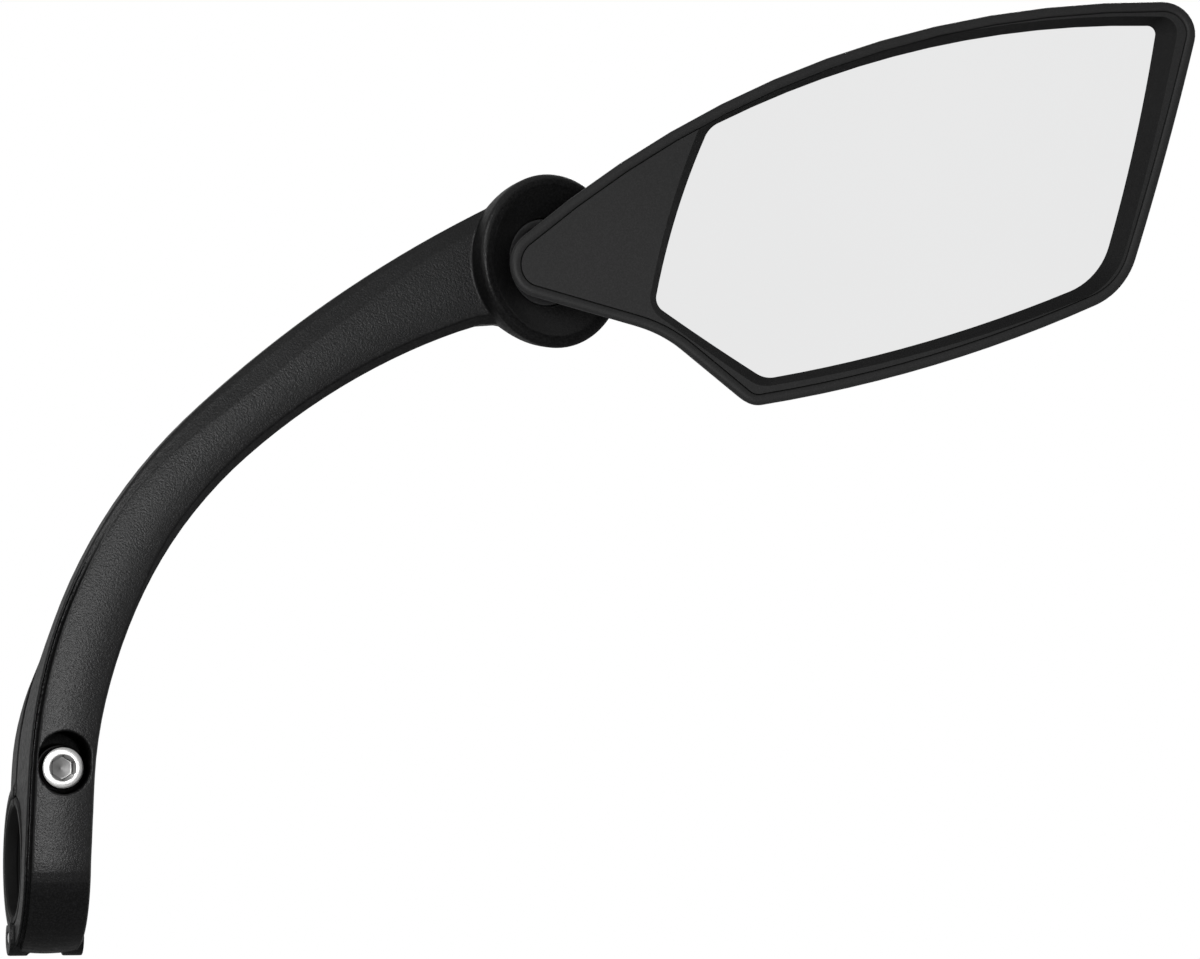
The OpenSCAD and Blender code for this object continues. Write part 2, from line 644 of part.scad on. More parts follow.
// Rear half of the clamp, with the hinge's middle knuckle, the nut's lug and the tail
function tail_front(s) = -arm_back(s) + split_gap + face_gap;
function tail_back(s) = tail_front(s)
    + tail_tip_t + (lug_back_y - split_y - tail_tip_t) * (1 - ramp(s, lug_top - 5, tail_top + 1));
function tail_ring(s) = let (
        p = arm_point(s), h = arm_heading(s), y0 = tail_front(s), y1 = tail_back(s),
        w = arm_w(s) - tail_taper * ramp(s, tail_top - taper_run, tail_top),
        e = min(tail_round, 0.8 * (y1 - y0)))
    [for (q = concat([[-w / 2, y0], [w / 2, y0]],
            [for (a = [0:15:90]) [w / 2 - e * (1 - cos(a)), y1 - e * (1 - sin(a))]],
            [for (a = [0:15:90]) [-w / 2 + e * (1 - sin(a)), y1 - e * (1 - cos(a))]]))
        [p[0] + q[0] * cos(h), q[1], p[1] - q[0] * sin(h)]];
module jaw_ring() {
    e = jaw_edge_r;
    h = clamp_w / 2;
    intersection() {
        rotate([0, 90, 0]) rotate_extrude($fn = 96) polygon(concat(
            [[bore_r - 1, -h]], [for (a = [-90:30:0]) [jaw_r - e + e * cos(a), -h + e + e * sin(a)]],
            [for (a = [0:30:90]) [jaw_r - e + e * cos(a), h - e + e * sin(a)]], [[bore_r - 1, h]]));
        translate([-clamp_w, split_y, -2 * jaw_r]) cube([2 * clamp_w, 2 * jaw_r, 4 * jaw_r]);
    }
}
module jaw_lug() {
    rows = 16;
    low = bore_r / 3;
    skin([for (i = [0:rows]) tail_ring(low + (tail_top - low) * i / rows)]);
}
module clamp_jaw() {
    color("#262628") difference() {
        union() {
            jaw_ring();
            jaw_lug();
            along_x(-mid_knuckle_w / 2, 0, hinge_z) cylinder(r = mid_knuckle_r, h = mid_knuckle_w);
        }
        bar_bore(bore_r, 2 * clamp_w);
        along_x(-clamp_w, 0, hinge_z) cylinder(r = pin_r + fit, h = 2 * clamp_w);
        for (side = [0, 1]) mirror([side, 0, 0]) along_x(mid_knuckle_w / 2, 0, hinge_z)
            cylinder(r = knuckle_r + swing_gap, h = clamp_w);
        along_y(0, screw_x, screw_z) cylinder(r = jaw_hole_r, h = nut_seat_y + 1);
        along_y(nut_seat_y, screw_x, screw_z) hex(nut_af + 2 * fit, 3 * nut_h);
    }
}
module hinge_pin() {
    color("silver") along_x(-clamp_w / 2 - knuckle_proud, 0, hinge_z)
        cylinder(r = pin_r, h = clamp_w + 2 * knuckle_proud);
}

// Screw with its socket head towards the rider
module clamp_screw() {
    color("gainsboro") difference() {
        union() {
            along_y(head_top_y, screw_x, screw_z) {
                cylinder(r1 = head_r - head_edge, r2 = head_r, h = head_edge);
                translate([0, 0, head_edge]) cylinder(r = head_r, h = head_h - head_edge);
            }
            along_y(head_top_y + head_h, screw_x, screw_z) {
                cylinder(r = screw_r, h = -split_y - head_top_y - head_h);
                cylinder(r = thread_root_r, h = screw_len);
            }
        }
        along_y(head_top_y - 1, screw_x, screw_z) hex(key_af, key_depth + 1);
    }
}
module clamp_washer() {
    color("silver") along_y(seat_y - washer_t, screw_x, screw_z) tube(washer_r, screw_r + fit, washer_t);
}
module clamp_nut() {
    color("silver") difference() {
        along_y(nut_seat_y, screw_x, screw_z) hex(nut_af, nut_h);
        along_y(nut_seat_y - 1, screw_x, screw_z) cylinder(r = thread_root_r + loose_gap, h = nut_h + 2);
    }
}
module front_liner() {
    color("#161616") half_tube(liner_r, bar_r, clamp_w, -1);
}
module rear_liner() {
    color("#161616") half_tube(liner_r, bar_r, clamp_w, 1);
}

// Friction ring: a zone of a sphere shell between ball and cup
module socket_liner() {
    color("#1b1b1d") at_cup() difference() {
        intersection() {
            sphere(r = ring_out_r, $fn = 96);
            translate([0, 0, ring_back]) cylinder(r = 2 * ring_out_r, h = ring_front - ring_back);
        }
        sphere(r = ring_in_r, $fn = 96);
    }
}
module pressure_pad() {
    color("#1b1b1d") at_cup() difference() {
        union() {
            translate([0, 0, pad_back]) cylinder(r = cup_bore_r - run_gap, h = pad_flange_t);
            translate([0, 0, hub_back]) cylinder(r = hub_r, h = pad_front - hub_back);
        }
        sphere(r = pad_seat_r, $fn = 96);
    }
}
// Coil between the pad's flange and the cap, with its wire on a helix
module pressure_spring() {
    sides = 8;
    steps = 20;
    low = cap_front + wire_r + fit;
    rise = pad_back - wire_r - fit - low;
    n = ceil(coil_turns * steps);
    color("darkgray") at_cup() skin([for (i = [0:n])
        let (a = 360 * coil_turns * i / n, z = low + rise * i / n)
        [for (j = [0:sides - 1]) let (b = -360 * j / sides, r = coil_r + wire_r * cos(b))
            [r * cos(a), r * sin(a), z + wire_r * sin(b)]]]);
}
module rear_cap() {
    color("#2b2b2d") at_cup() difference() {
        union() {
            translate([0, 0, cap_back]) cylinder(r = cap_r, h = cap_t);
            translate([0, 0, cap_lip_back]) cylinder(r1 = cap_lip_r - cap_edge, r2 = cap_lip_r, h = cap_edge);
            translate([0, 0, cap_lip_back + cap_edge]) cylinder(r = cap_lip_r, h = cap_lip_t - cap_edge);
        }
        translate([0, 0, seal_mid]) rotate_extrude($fn = 96)
            translate([cup_bore_r - 2 * seal_r, -seal_r]) square([3 * seal_r, 2 * seal_r]);
        translate([-slot_half, -slot_w / 2, cap_lip_back - slot_d]) cube([2 * slot_half, slot_w, 2 * slot_d]);
    }
}
module cap_seal() {
    color("#101010") at_cup() translate([0, 0, seal_mid]) rotate_extrude($fn = 96)
        translate([cup_bore_r - seal_r, 0]) circle(r = seal_r - fit, $fn = 24);
}

// Ball, neck and flange that carry the head
module ball_stud() {
    color("#1d1d1f") at_stud() difference() {
        union() {
            sphere(r = ball_r, $fn = 96);
            cylinder(r = neck_r, h = neck_len);
            translate([0, 0, neck_len - flange_t]) cylinder(r = flange_r, h = flange_t);
        }
        translate([0, 0, neck_len - insert_len - 2]) cylinder(r = stud_screw_r + 2 * fit, h = insert_len + 3);
        translate([0, 0, neck_len - insert_len]) cylinder(r = insert_r, h = insert_len + 1);
    }
}
module stud_insert() {
    color("goldenrod") at_stud() translate([0, 0, neck_len - insert_len])
        tube(insert_r, stud_screw_r + fit, insert_len);
}
module friction_washer() {
    color("#1b1b1d") at_stud() translate([0, 0, neck_len])
        tube(flange_r, stud_screw_r + 2 * fit, friction_t);
}
module ball_washer() {
    color("silver") translate([ball_p[0], stud_washer_y, ball_p[1]]) rotate([90, 0, 0])
        tube(stud_head_r + 1, stud_screw_r + fit, flat_washer_t);
}
module ball_screw() {
    color("silver") translate([ball_p[0], stud_washer_y - flat_washer_t, ball_p[1]]) rotate([90, 0, 0])
        difference() {
            union() {
                cylinder(r = stud_head_r, h = stud_head_h - stud_head_edge);
                translate([0, 0, stud_head_h - stud_head_edge])
                    cylinder(r1 = stud_head_r, r2 = stud_head_r - stud_head_edge, h = stud_head_edge);
                translate([0, 0, -stud_shank]) cylinder(r = stud_screw_r, h = stud_shank + stud_head_edge);
            }
            translate([0, 0, stud_head_h - stud_key_depth]) hex(stud_key_af, 2 * stud_key_depth);
        }
}
// Back shell: a tray with a rounded back and a ledge for the bezel, and the plate that the stud bears on
module back_shell() {
    rim_y = head_front_y + rim_skirt;
    break_y = head_front_y + rim_break;
    pocket = rim_w + run_gap;
    ledge = pocket + ledge_w;
    strip = draw_in(head_line, 2 * heel_x);
    hole = on_circle(strip, stud_hole_r);
    color("#242426") skin(concat(
        [at_y(hole, crown_y), at_y(strip, crown_y)],
        [for (b = bowl) at_y(draw_in(head_line, b[0]), rim_y + (back_y - rim_y) * b[1] + crown_h * b[2])],
        [at_y(head_line, rim_y), at_y(inset(head_line, rim_side), break_y)],
        [for (d = [rim_round, rim_w - rim_side]) at_y(inset(head_line, d), head_front_y)],
        [at_y(inset(head_line, pocket), break_y), at_y(inset(head_line, pocket), bezel_back_y)],
        [at_y(inset(head_line, ledge), bezel_back_y), at_y(inset(head_line, ledge), glass_back_y - face_gap)],
        [at_y(draw_in(head_line, wall_in), floor_y - foam_t / 3)],
        [at_y(draw_in(head_line, floor_in), floor_y)],
        [at_y(strip, floor_y), at_y(hole, floor_y)]), true);
}
module wear_plate() {
    color("silver") translate([ball_p[0], plate_y, ball_p[1]]) rotate([90, 0, 0])
        tube(plate_r, stud_screw_r + fit, plate_t);
}
// Bezel: plate inside the rim, cut by a sloped opening round the lens
module front_bezel() {
    past = 0.2;
    color("#2e2e30") difference() {
        slab(inset(head_line, rim_w + 2 * run_gap), bezel_front_y, bezel_back_y);
        skin([for (k = [-past, 0, 1, 1 + past])
            at_y(lens_line + (opening_line - lens_line) * k, bezel_back_y - bezel_t * k)]);
    }
}
module mirror_glass() {
    color("#e6e9ea") slab(inset(lens_line, -glass_lap), lens_y, glass_back_y);
}
module glass_pad() {
    color("#3a3a3a") slab(pad_line, glass_back_y, floor_y);
}

arm();
clamp_jaw();
hinge_pin();
clamp_screw();
clamp_washer();
clamp_nut();
front_liner();
rear_liner();
socket_liner();
pressure_pad();
pressure_spring();
rear_cap();
cap_seal();
ball_stud();
stud_insert();
ball_screw();
ball_washer();
friction_washer();
wear_plate();
back_shell();
front_bezel();
mirror_glass();
glass_pad();
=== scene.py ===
"""Looks of a handlebar mirror with a hinged bar clamp, a curved arm, a sprung ball joint and a framed lens.

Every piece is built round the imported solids, in their frame and in metres.
"""

import json
import math

import bmesh
import bpy
from mathutils import Matrix, Vector


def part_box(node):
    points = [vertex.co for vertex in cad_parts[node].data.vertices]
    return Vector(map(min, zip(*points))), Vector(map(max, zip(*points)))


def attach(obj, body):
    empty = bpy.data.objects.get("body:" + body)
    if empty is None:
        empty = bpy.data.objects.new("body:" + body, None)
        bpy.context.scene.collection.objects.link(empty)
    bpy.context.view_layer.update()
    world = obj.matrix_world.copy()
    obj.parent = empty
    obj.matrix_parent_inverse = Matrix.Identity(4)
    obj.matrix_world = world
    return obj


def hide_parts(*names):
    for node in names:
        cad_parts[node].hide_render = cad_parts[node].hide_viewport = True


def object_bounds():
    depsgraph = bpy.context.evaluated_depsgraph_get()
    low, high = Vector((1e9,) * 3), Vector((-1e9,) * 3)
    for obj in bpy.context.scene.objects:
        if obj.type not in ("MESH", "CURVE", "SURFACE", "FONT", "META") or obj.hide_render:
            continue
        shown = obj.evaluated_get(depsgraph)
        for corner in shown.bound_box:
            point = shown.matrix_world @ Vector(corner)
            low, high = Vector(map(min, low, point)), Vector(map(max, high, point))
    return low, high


bl_info = {
    "name": "Handlebar mirror",
    "version": (1, 0, 0),
    "blender": (4, 5, 0),
    "location": "View3D > Sidebar > Mirror",
    "description": "Builds the visible pieces of a clamp-on handlebar mirror and its studio",
    "category": "Object",
}

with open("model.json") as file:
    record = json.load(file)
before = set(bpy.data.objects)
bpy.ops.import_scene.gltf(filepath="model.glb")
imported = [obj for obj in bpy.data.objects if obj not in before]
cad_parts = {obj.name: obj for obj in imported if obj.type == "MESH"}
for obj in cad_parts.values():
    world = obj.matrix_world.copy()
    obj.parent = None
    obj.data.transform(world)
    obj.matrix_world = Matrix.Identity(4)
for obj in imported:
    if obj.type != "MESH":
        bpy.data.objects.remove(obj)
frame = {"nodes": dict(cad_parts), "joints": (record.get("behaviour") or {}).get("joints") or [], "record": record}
CAD_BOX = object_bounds()
MM = 0.001
BODY_OF = {node: body for body, nodes in frame["record"]["behaviour"]["bodies"].items() for node in nodes}


def box_mid(node):
    """Middle of a CAD node's box."""
    low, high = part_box(node)
    return (low + high) / 2


def joint_axis(name):
    """Direction of a packed joint."""
    found = [joint for joint in frame["joints"] if joint["name"] == name]
    return Vector(found[0]["axis"]).normalized()


# Places that several pieces share
SCREW_LOW, SCREW_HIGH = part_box("clamp_screw")
SCREW_AXIS = box_mid("clamp_screw")
HINGE = box_mid("hinge_pin")
STUD_LOW, STUD_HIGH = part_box("ball_stud")
BALL_R = (STUD_HIGH.x - STUD_LOW.x) / 2
BALL = Vector((box_mid("ball_stud").x, STUD_HIGH.y - BALL_R, box_mid("ball_stud").z))
TILT_AXIS = joint_axis("head_tilt")
CUP_AXIS = Vector((abs(TILT_AXIS.y), -abs(TILT_AXIS.x), 0))


def axis_place(origin, direction):
    """Frame whose Z runs from an origin along a direction."""
    turn = Vector(direction).to_track_quat("Z", "Y").to_matrix().to_4x4()
    return Matrix.Translation(origin) @ turn


CUP_PLACE = axis_place(BALL, CUP_AXIS)
STUD_PLACE = axis_place(BALL, (0, -1, 0))
SCREW_PLACE = axis_place((SCREW_AXIS.x, SCREW_LOW.y, SCREW_AXIS.z), (0, 1, 0))
HINGE_PLACE = axis_place((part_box("hinge_pin")[0].x, HINGE.y, HINGE.z), (1, 0, 0))

# Where the lamps aim, about the middle of the mirror
MIDDLE = Vector((0.1, 0, 0.08))
# Radius of the clamp screw's hole in its washer and nut, in millimetres
SCREW_HOLE_R = 2.56
# The stud's seat for the head and its insert, in millimetres from the ball's middle
STUD_SEAT, INSERT_FROM, INSERT_R = 16, 8, 2.9
# Points round a lofted piece, corners of a hexagon, and the small loop that an end closes on
ROUND, HEX, END_R = 72, 6, 0.05


class MirrorSizes(bpy.types.PropertyGroup):
    """Sizes that only the looks have."""

    arm_grain: bpy.props.FloatProperty(
        name="Arm grain", description="Spacing of the arm's skin", default=0.21 * MM, unit="LENGTH",
        precision=5)
    arm_melt: bpy.props.IntProperty(
        name="Arm melt", description="Passes that round the arm's moulded edges", default=4)
    jaw_grain: bpy.props.FloatProperty(
        name="Jaw grain", description="Spacing of the jaw's skin", default=0.28 * MM, unit="LENGTH",
        precision=5)
    jaw_melt: bpy.props.IntProperty(
        name="Jaw melt", description="Passes that round the jaw's moulded edges", default=8)
    edge_break: bpy.props.FloatProperty(
        name="Edge break", description="Rounding of the head's moulded edges", default=0.22 * MM,
        unit="LENGTH", precision=5)
    metal_break: bpy.props.FloatProperty(
        name="Metal break", description="Rounding of the turned parts' edges", default=0.12 * MM,
        unit="LENGTH", precision=5)
    turn_steps: bpy.props.IntProperty(
        name="Turning steps", description="Steps round a turned part", default=72)


class MirrorColours(bpy.types.PropertyGroup):
    """Colours of the finishes."""

    nylon: bpy.props.FloatVectorProperty(
        name="Nylon", description="Filled nylon of the arm and clamp", subtype="COLOR",
        default=(0.0035, 0.0035, 0.0036))
    head: bpy.props.FloatVectorProperty(
        name="Head", description="Moulded plastic of the head", subtype="COLOR",
        default=(0.0095, 0.0095, 0.0096))
    stud: bpy.props.FloatVectorProperty(
        name="Stud", description="Smooth plastic of the ball", subtype="COLOR",
        default=(0.011, 0.011, 0.0115))
    rubber: bpy.props.FloatVectorProperty(
        name="Rubber", description="Rubber of the liners and seal", subtype="COLOR",
        default=(0.004, 0.004, 0.004))
    acetal: bpy.props.FloatVectorProperty(
        name="Acetal", description="Black slippery plastic of the friction parts", subtype="COLOR",
        default=(0.016, 0.016, 0.0165))
    steel: bpy.props.FloatVectorProperty(
        name="Steel", description="Bright steel of the fasteners", subtype="COLOR",
        default=(0.3, 0.2985, 0.296))
    brass: bpy.props.FloatVectorProperty(
        name="Brass", description="Brass of the insert", subtype="COLOR", default=(0.72, 0.5, 0.2))
    silvering: bpy.props.FloatVectorProperty(
        name="Silvering", description="Mirror coat of the lens", subtype="COLOR",
        default=(0.81, 0.811, 0.812))
    foam: bpy.props.FloatVectorProperty(
        name="Foam", description="Foam behind the lens", subtype="COLOR", default=(0.03, 0.03, 0.031))


class MirrorStudio(bpy.types.PropertyGroup):
    """Camera and light."""

    focal: bpy.props.FloatProperty(
        name="Focal length", description="Focal length of the camera in millimetres", default=135)
    azimuth: bpy.props.FloatProperty(
        name="Azimuth", description="Turn of the camera to the clamp's side", default=math.radians(-15.2),
        subtype="ANGLE")
    elevation: bpy.props.FloatProperty(
        name="Elevation", description="Height angle of the camera", default=math.radians(-4), subtype="ANGLE")
    camera_at: bpy.props.FloatVectorProperty(
        name="Camera place", description="Place of the camera", subtype="TRANSLATION", unit="LENGTH",
        default=(-129.77 * MM, -900.61 * MM, 13.33 * MM))
    floor_drop: bpy.props.FloatProperty(
        name="Floor drop", description="Distance of the floor below the mirror", default=160 * MM,
        unit="LENGTH")
    ambient: bpy.props.FloatProperty(
        name="Ambient", description="Strength of the light from all round", default=0.28)


def sizes():
    return bpy.context.scene.mirror_sizes


def colours():
    return bpy.context.scene.mirror_colours


# Finishes


class Finish:
    """A node material under construction."""

    def __init__(self, name):
        self.material = bpy.data.materials.new(name)
        self.material.use_nodes = True
        self.tree = self.material.node_tree
        self.shader = self.tree.nodes["Principled BSDF"]
        self.place = self.tree.nodes.new("ShaderNodeTexCoord").outputs["Object"]

    def set(self, **values):
        for key, value in values.items():
            self.shader.inputs[key.replace("_", " ")].default_value = value

    def join(self, source, target):
        self.tree.links.new(source, target)

    def mapped(self, location=(0, 0, 0), scale=(1, 1, 1)):
        """Object coordinates, moved and stretched."""
        node = self.tree.nodes.new("ShaderNodeMapping")
        node.inputs["Location"].default_value = location
        node.inputs["Scale"].default_value = scale
        self.join(self.place, node.inputs["Vector"])
        return node.outputs["Vector"]

    def noise(self, scale, detail=2, rough=0.5, place=None):
        node = self.tree.nodes.new("ShaderNodeTexNoise")
        node.inputs["Scale"].default_value = scale
        node.inputs["Detail"].default_value = detail
        node.inputs["Roughness"].default_value = rough
        self.join(place or self.place, node.inputs["Vector"])
        return node.outputs["Fac"]

    def cells(self, scale):
        node = self.tree.nodes.new("ShaderNodeTexVoronoi")
        node.inputs["Scale"].default_value = scale
        self.join(self.place, node.inputs["Vector"])
        return node.outputs["Distance"]

    def rings(self, scale, place, direction):
        node = self.tree.nodes.new("ShaderNodeTexWave")
        node.wave_type = "RINGS"
        node.rings_direction = direction
        node.inputs["Scale"].default_value = scale
        node.inputs["Distortion"].default_value = 1.5
        node.inputs["Detail"].default_value = 2
        self.join(place, node.inputs["Vector"])
        return node.outputs["Fac"]

    def upward(self):
        """How far the surface faces up, from -1 to 1."""
        node = self.tree.nodes.new("ShaderNodeSeparateXYZ")
        self.join(self.place.node.outputs["Normal"], node.inputs["Vector"])
        return node.outputs["Z"]

    def spread(self, source, low, high, start=0.3, end=0.7):
        """The source's values from start to end, spread from low to high."""
        node = self.tree.nodes.new("ShaderNodeMapRange")
        for key, value in (("From Min", start), ("From Max", end), ("To Min", low), ("To Max", high)):
            node.inputs[key].default_value = value
        self.join(source, node.inputs["Value"])
        return node.outputs["Result"]

    def tint(self, source, low, high, start=0.3, end=0.7):
        """Colours from low to high over the source's values."""
        node = self.tree.nodes.new("ShaderNodeValToRGB")
        node.color_ramp.elements[0].position = start
        node.color_ramp.elements[1].position = end
        node.color_ramp.elements[0].color = (*low, 1)
        node.color_ramp.elements[1].color = (*high, 1)
        self.join(source, node.inputs["Fac"])
        return node.outputs["Color"]

    def times(self, one, other):
        """Product of two colours."""
        node = self.tree.nodes.new("ShaderNodeMix")
        node.data_type = "RGBA"
        node.blend_type = "MULTIPLY"
        node.inputs["Factor"].default_value = 1
        self.join(one, node.inputs[6])
        self.join(other, node.inputs[7])
        return node.outputs[2]

    def bump(self, height, depth, strength=1, below=None):
        node = self.tree.nodes.new("ShaderNodeBump")
        node.inputs["Distance"].default_value = depth
        node.inputs["Strength"].default_value = strength
        self.join(height, node.inputs["Height"])
        if below:
            self.join(below, node.inputs["Normal"])
        return node.outputs["Normal"]

    def wire(self, key, source):
        self.join(source, self.shader.inputs[key])


def shade(colour, share):
    """A colour times a share."""
    return tuple(part * share for part in colour)


def filled_nylon(name, share=1, sheen=0.11):
    """Glass-filled nylon: fine spark texture, pale flecks of filler, uneven sheen that fades on downward faces as
    painted shade.
    """
    made = Finish(name)
    colour = shade(colours().nylon, share)
    flecks = made.noise(2600, detail=3, rough=0.6)
    clouds = made.noise(45, detail=3, rough=0.55)
    made.wire("Base Color", made.times(
        made.tint(flecks, shade(colour, 0.7), shade(colour, 2.2), 0.42, 0.74),
        made.tint(clouds, (0.85, 0.85, 0.85), (1.12, 1.12, 1.12))))
    made.wire("Roughness", made.spread(made.noise(900), 0.5, 0.66))
    grain = made.bump(flecks, depth=0.1 * MM, strength=0.8)
    texture = made.bump(clouds, depth=0.25 * MM, strength=0.25, below=grain)
    made.wire("Normal", texture)
    made.wire("Coat Normal", texture)
    # Painted shade: the sheen fades where the surface turns down, so undersides render darker
    made.wire("Coat Weight", made.spread(made.upward(), 0.15 * sheen, sheen, start=-0.3, end=-0.02))
    made.set(Specular_IOR_Level=0.02, Coat_Roughness=0.27, Coat_IOR=1.9)
    return made.material


def head_plastic(name, share=1, sheen=0.09):
    """Moulded plastic of the head: even, fine matt texture."""
    made = Finish(name)
    colour = shade(colours().head, share)
    texture = made.noise(3800, detail=2, rough=0.55)
    clouds = made.noise(30)
    made.wire("Base Color", made.times(
        made.tint(texture, shade(colour, 0.85), shade(colour, 1.35), 0.4, 0.7),
        made.tint(clouds, (0.93, 0.93, 0.93), (1.06, 1.06, 1.06))))
    made.wire("Roughness", made.spread(made.noise(700), 0.5, 0.62))
    grain = made.bump(texture, depth=0.035 * MM, strength=0.5)
    made.wire("Normal", grain)
    made.wire("Coat Normal", grain)
    made.set(Specular_IOR_Level=0.02, Coat_Weight=sheen, Coat_Roughness=0.48, Coat_IOR=1.9)
    return made.material


def stud_plastic(name):
    """Smooth dense plastic of the ball, with faint rubbing marks."""
    made = Finish(name)
    colour = colours().stud
    rubbed = made.noise(420, detail=4, rough=0.65, place=made.mapped(scale=(1, 0.25, 1)))
    made.wire("Base Color", made.tint(rubbed, shade(colour, 0.9), shade(colour, 1.4)))
    made.wire("Roughness", made.spread(rubbed, 0.26, 0.4))
    made.wire("Normal", made.bump(made.noise(2200), depth=0.012 * MM, strength=0.5))
    made.set(Specular_IOR_Level=0.45)
    return made.material


def soft_rubber(name):
    """Dull rubber with a dusty bloom."""
    made = Finish(name)
    colour = colours().rubber
    bloom = made.noise(260, detail=4, rough=0.6)
    made.wire("Base Color", made.tint(bloom, shade(colour, 0.85), shade(colour, 1.7)))
    made.wire("Roughness", made.spread(bloom, 0.55, 0.75))
    made.wire("Normal", made.bump(made.noise(1800), depth=0.03 * MM, strength=0.5))
    made.set(Specular_IOR_Level=0.08)
    return made.material


def foam_finish(name):
    """Closed-cell foam."""
    made = Finish(name)
    colour = colours().foam
    pores = made.cells(1600)
    made.wire("Base Color", made.tint(pores, shade(colour, 0.5), shade(colour, 1.3), 0.1, 0.6))
    made.wire("Normal", made.bump(pores, depth=0.15 * MM, strength=0.6))
    made.set(Roughness=0.85, Specular_IOR_Level=0.2)
    return made.material


def black_acetal(name):
    """Slippery black plastic of the friction parts."""
    made = Finish(name)
    colour = colours().acetal
    clouds = made.noise(160, detail=3)
    made.wire("Base Color", made.tint(clouds, shade(colour, 0.93), shade(colour, 1.04)))
    made.wire("Roughness", made.spread(made.noise(600), 0.32, 0.44))
    made.wire("Normal", made.bump(made.noise(1500), depth=0.02 * MM, strength=0.4))
    made.set(Specular_IOR_Level=0.5)
    return made.material


def turned_metal(name, colour, axis_point, direction, rough):
    """Turned metal: fine tool rings round an axis, light stains and a broken sheen."""
    made = Finish(name)
    place = made.mapped(location=tuple(-part for part in axis_point))
    rings = made.rings(1300, place, direction)
    stains = made.noise(330, detail=4, rough=0.6)
    made.wire("Base Color", made.tint(stains, shade(colour, 0.88), shade(colour, 1.06)))
    made.wire("Roughness", made.spread(rings, rough - 0.05, rough + 0.06, 0, 1))
    made.wire("Normal", made.bump(rings, depth=0.006 * MM, strength=0.5))
    made.set(Metallic=1.0)
    return made.material


def mirror_coat(name):
    """Silvered glass with a breath of haze."""
    made = Finish(name)
    colour = colours().silvering
    haze = made.noise(22)
    made.wire("Base Color", made.tint(haze, shade(colour, 0.994), shade(colour, 1.003)))
    made.wire("Roughness", made.spread(haze, 0.012, 0.03))
    made.set(Metallic=1.0)
    return made.material


FINISHES = {}


def finish_for(name, maker, *args):
    """The finish of that name, made on its first use."""
    if name not in FINISHES:
        FINISHES[name] = maker(name, *args)
    return FINISHES[name]


def steel_round(axis_point, direction, name):
    """Bright steel that was turned about an axis."""
    return finish_for(name, turned_metal, colours().steel, axis_point, direction, 0.24)


# Modelling helpers


def new_piece(name, bm, material, smooth_angle=35):
    """A finished piece at the origin, with its place in its mesh."""
    mesh = bpy.data.meshes.new(name)
    bm.to_mesh(mesh)
    bm.free()
    return dress(bpy.data.objects.new(name, mesh), material, smooth_angle)


def dress(piece, material, smooth_angle):
    """Puts a piece in the scene, with its first finish and its smooth shading."""
    if piece.name not in bpy.context.scene.collection.objects:
        bpy.context.scene.collection.objects.link(piece)
    if not piece.data.materials:
        piece.data.materials.append(material)
    piece.data.shade_smooth()
    piece.data.set_sharp_from_angle(angle=math.radians(smooth_angle))
    return piece


def stand_for(piece, node):
    """The piece rides with its node's body and takes the node's place."""
    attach(piece, BODY_OF[node])
    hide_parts(node)
    return piece


def check_closed(bm, name):
    """Stops at a shape that has a hole in its skin."""
    loose = [edge for edge in bm.edges if not edge.is_manifold]
    if loose:
        raise RuntimeError(f"{name} has {len(loose)} open edges")


def soften(bm, width, angle=30, segments=2):
    """Rounds every edge that is sharper than an angle."""
    limit = math.radians(angle)
    sharp = [edge for edge in bm.edges if edge.is_manifold and edge.calc_face_angle(0) > limit]
    bmesh.ops.bevel(bm, geom=sharp, offset=width, offset_type="OFFSET", segments=segments, profile=0.5,
                    affect="EDGES", material=-1, clamp_overlap=True)


def spun(outline, closed=True, steps=None):
    """Outline of radius and height in millimetres, spun once round Z."""
    bm = bmesh.new()
    verts = [bm.verts.new((r * MM, 0, z * MM)) for r, z in outline]
    pairs = list(zip(verts, verts[1:])) + ([(verts[-1], verts[0])] if closed else [])
    edges = [bm.edges.new(pair) for pair in pairs]
    bmesh.ops.spin(bm, geom=verts + edges, cent=(0, 0, 0), axis=(0, 0, 1), angle=2 * math.pi,
                   steps=steps or sizes().turn_steps, use_merge=True)
    bmesh.ops.remove_doubles(bm, verts=bm.verts, dist=1e-7)
    bmesh.ops.recalc_face_normals(bm, faces=bm.faces)
    return bm


def turned(name, outline, place, material, closed=True, edge=None):
    """A turned piece with its sharp edges broken."""
    bm = spun(outline, closed)
    check_closed(bm, name)
    soften(bm, edge or sizes().metal_break)
    bmesh.ops.transform(bm, matrix=place, verts=bm.verts)
    return new_piece(name, bm, material)


def swept_section(outline, axis, turn, steps, rise=0):
    """A closed outline of points in millimetres, swept part of a turn round an axis through the origin."""
    bm = bmesh.new()
    face = bm.faces.new([bm.verts.new(Vector(point) * MM) for point in outline])
    bmesh.ops.spin(bm, geom=list(bm.verts) + list(bm.edges) + [face], cent=(0, 0, 0), axis=axis, angle=turn,
                   steps=steps, dvec=Vector(axis) * rise * MM / steps)
    bmesh.ops.recalc_face_normals(bm, faces=bm.faces)
    return bm


def hex_corner(across):
    """Corner radius of a hexagon of that width across its flats."""
    return across / 2 / math.cos(math.radians(30))


def rounds(*points):
    """Round loops of a loft, each of a radius and a height in millimetres."""
    return [(radius, height, ROUND) for radius, height in points]


def hexes(*points):
    """Hexagonal loops of a loft, each of a corner radius and a height in millimetres."""
    return [(radius, height, HEX) for radius, height in points]


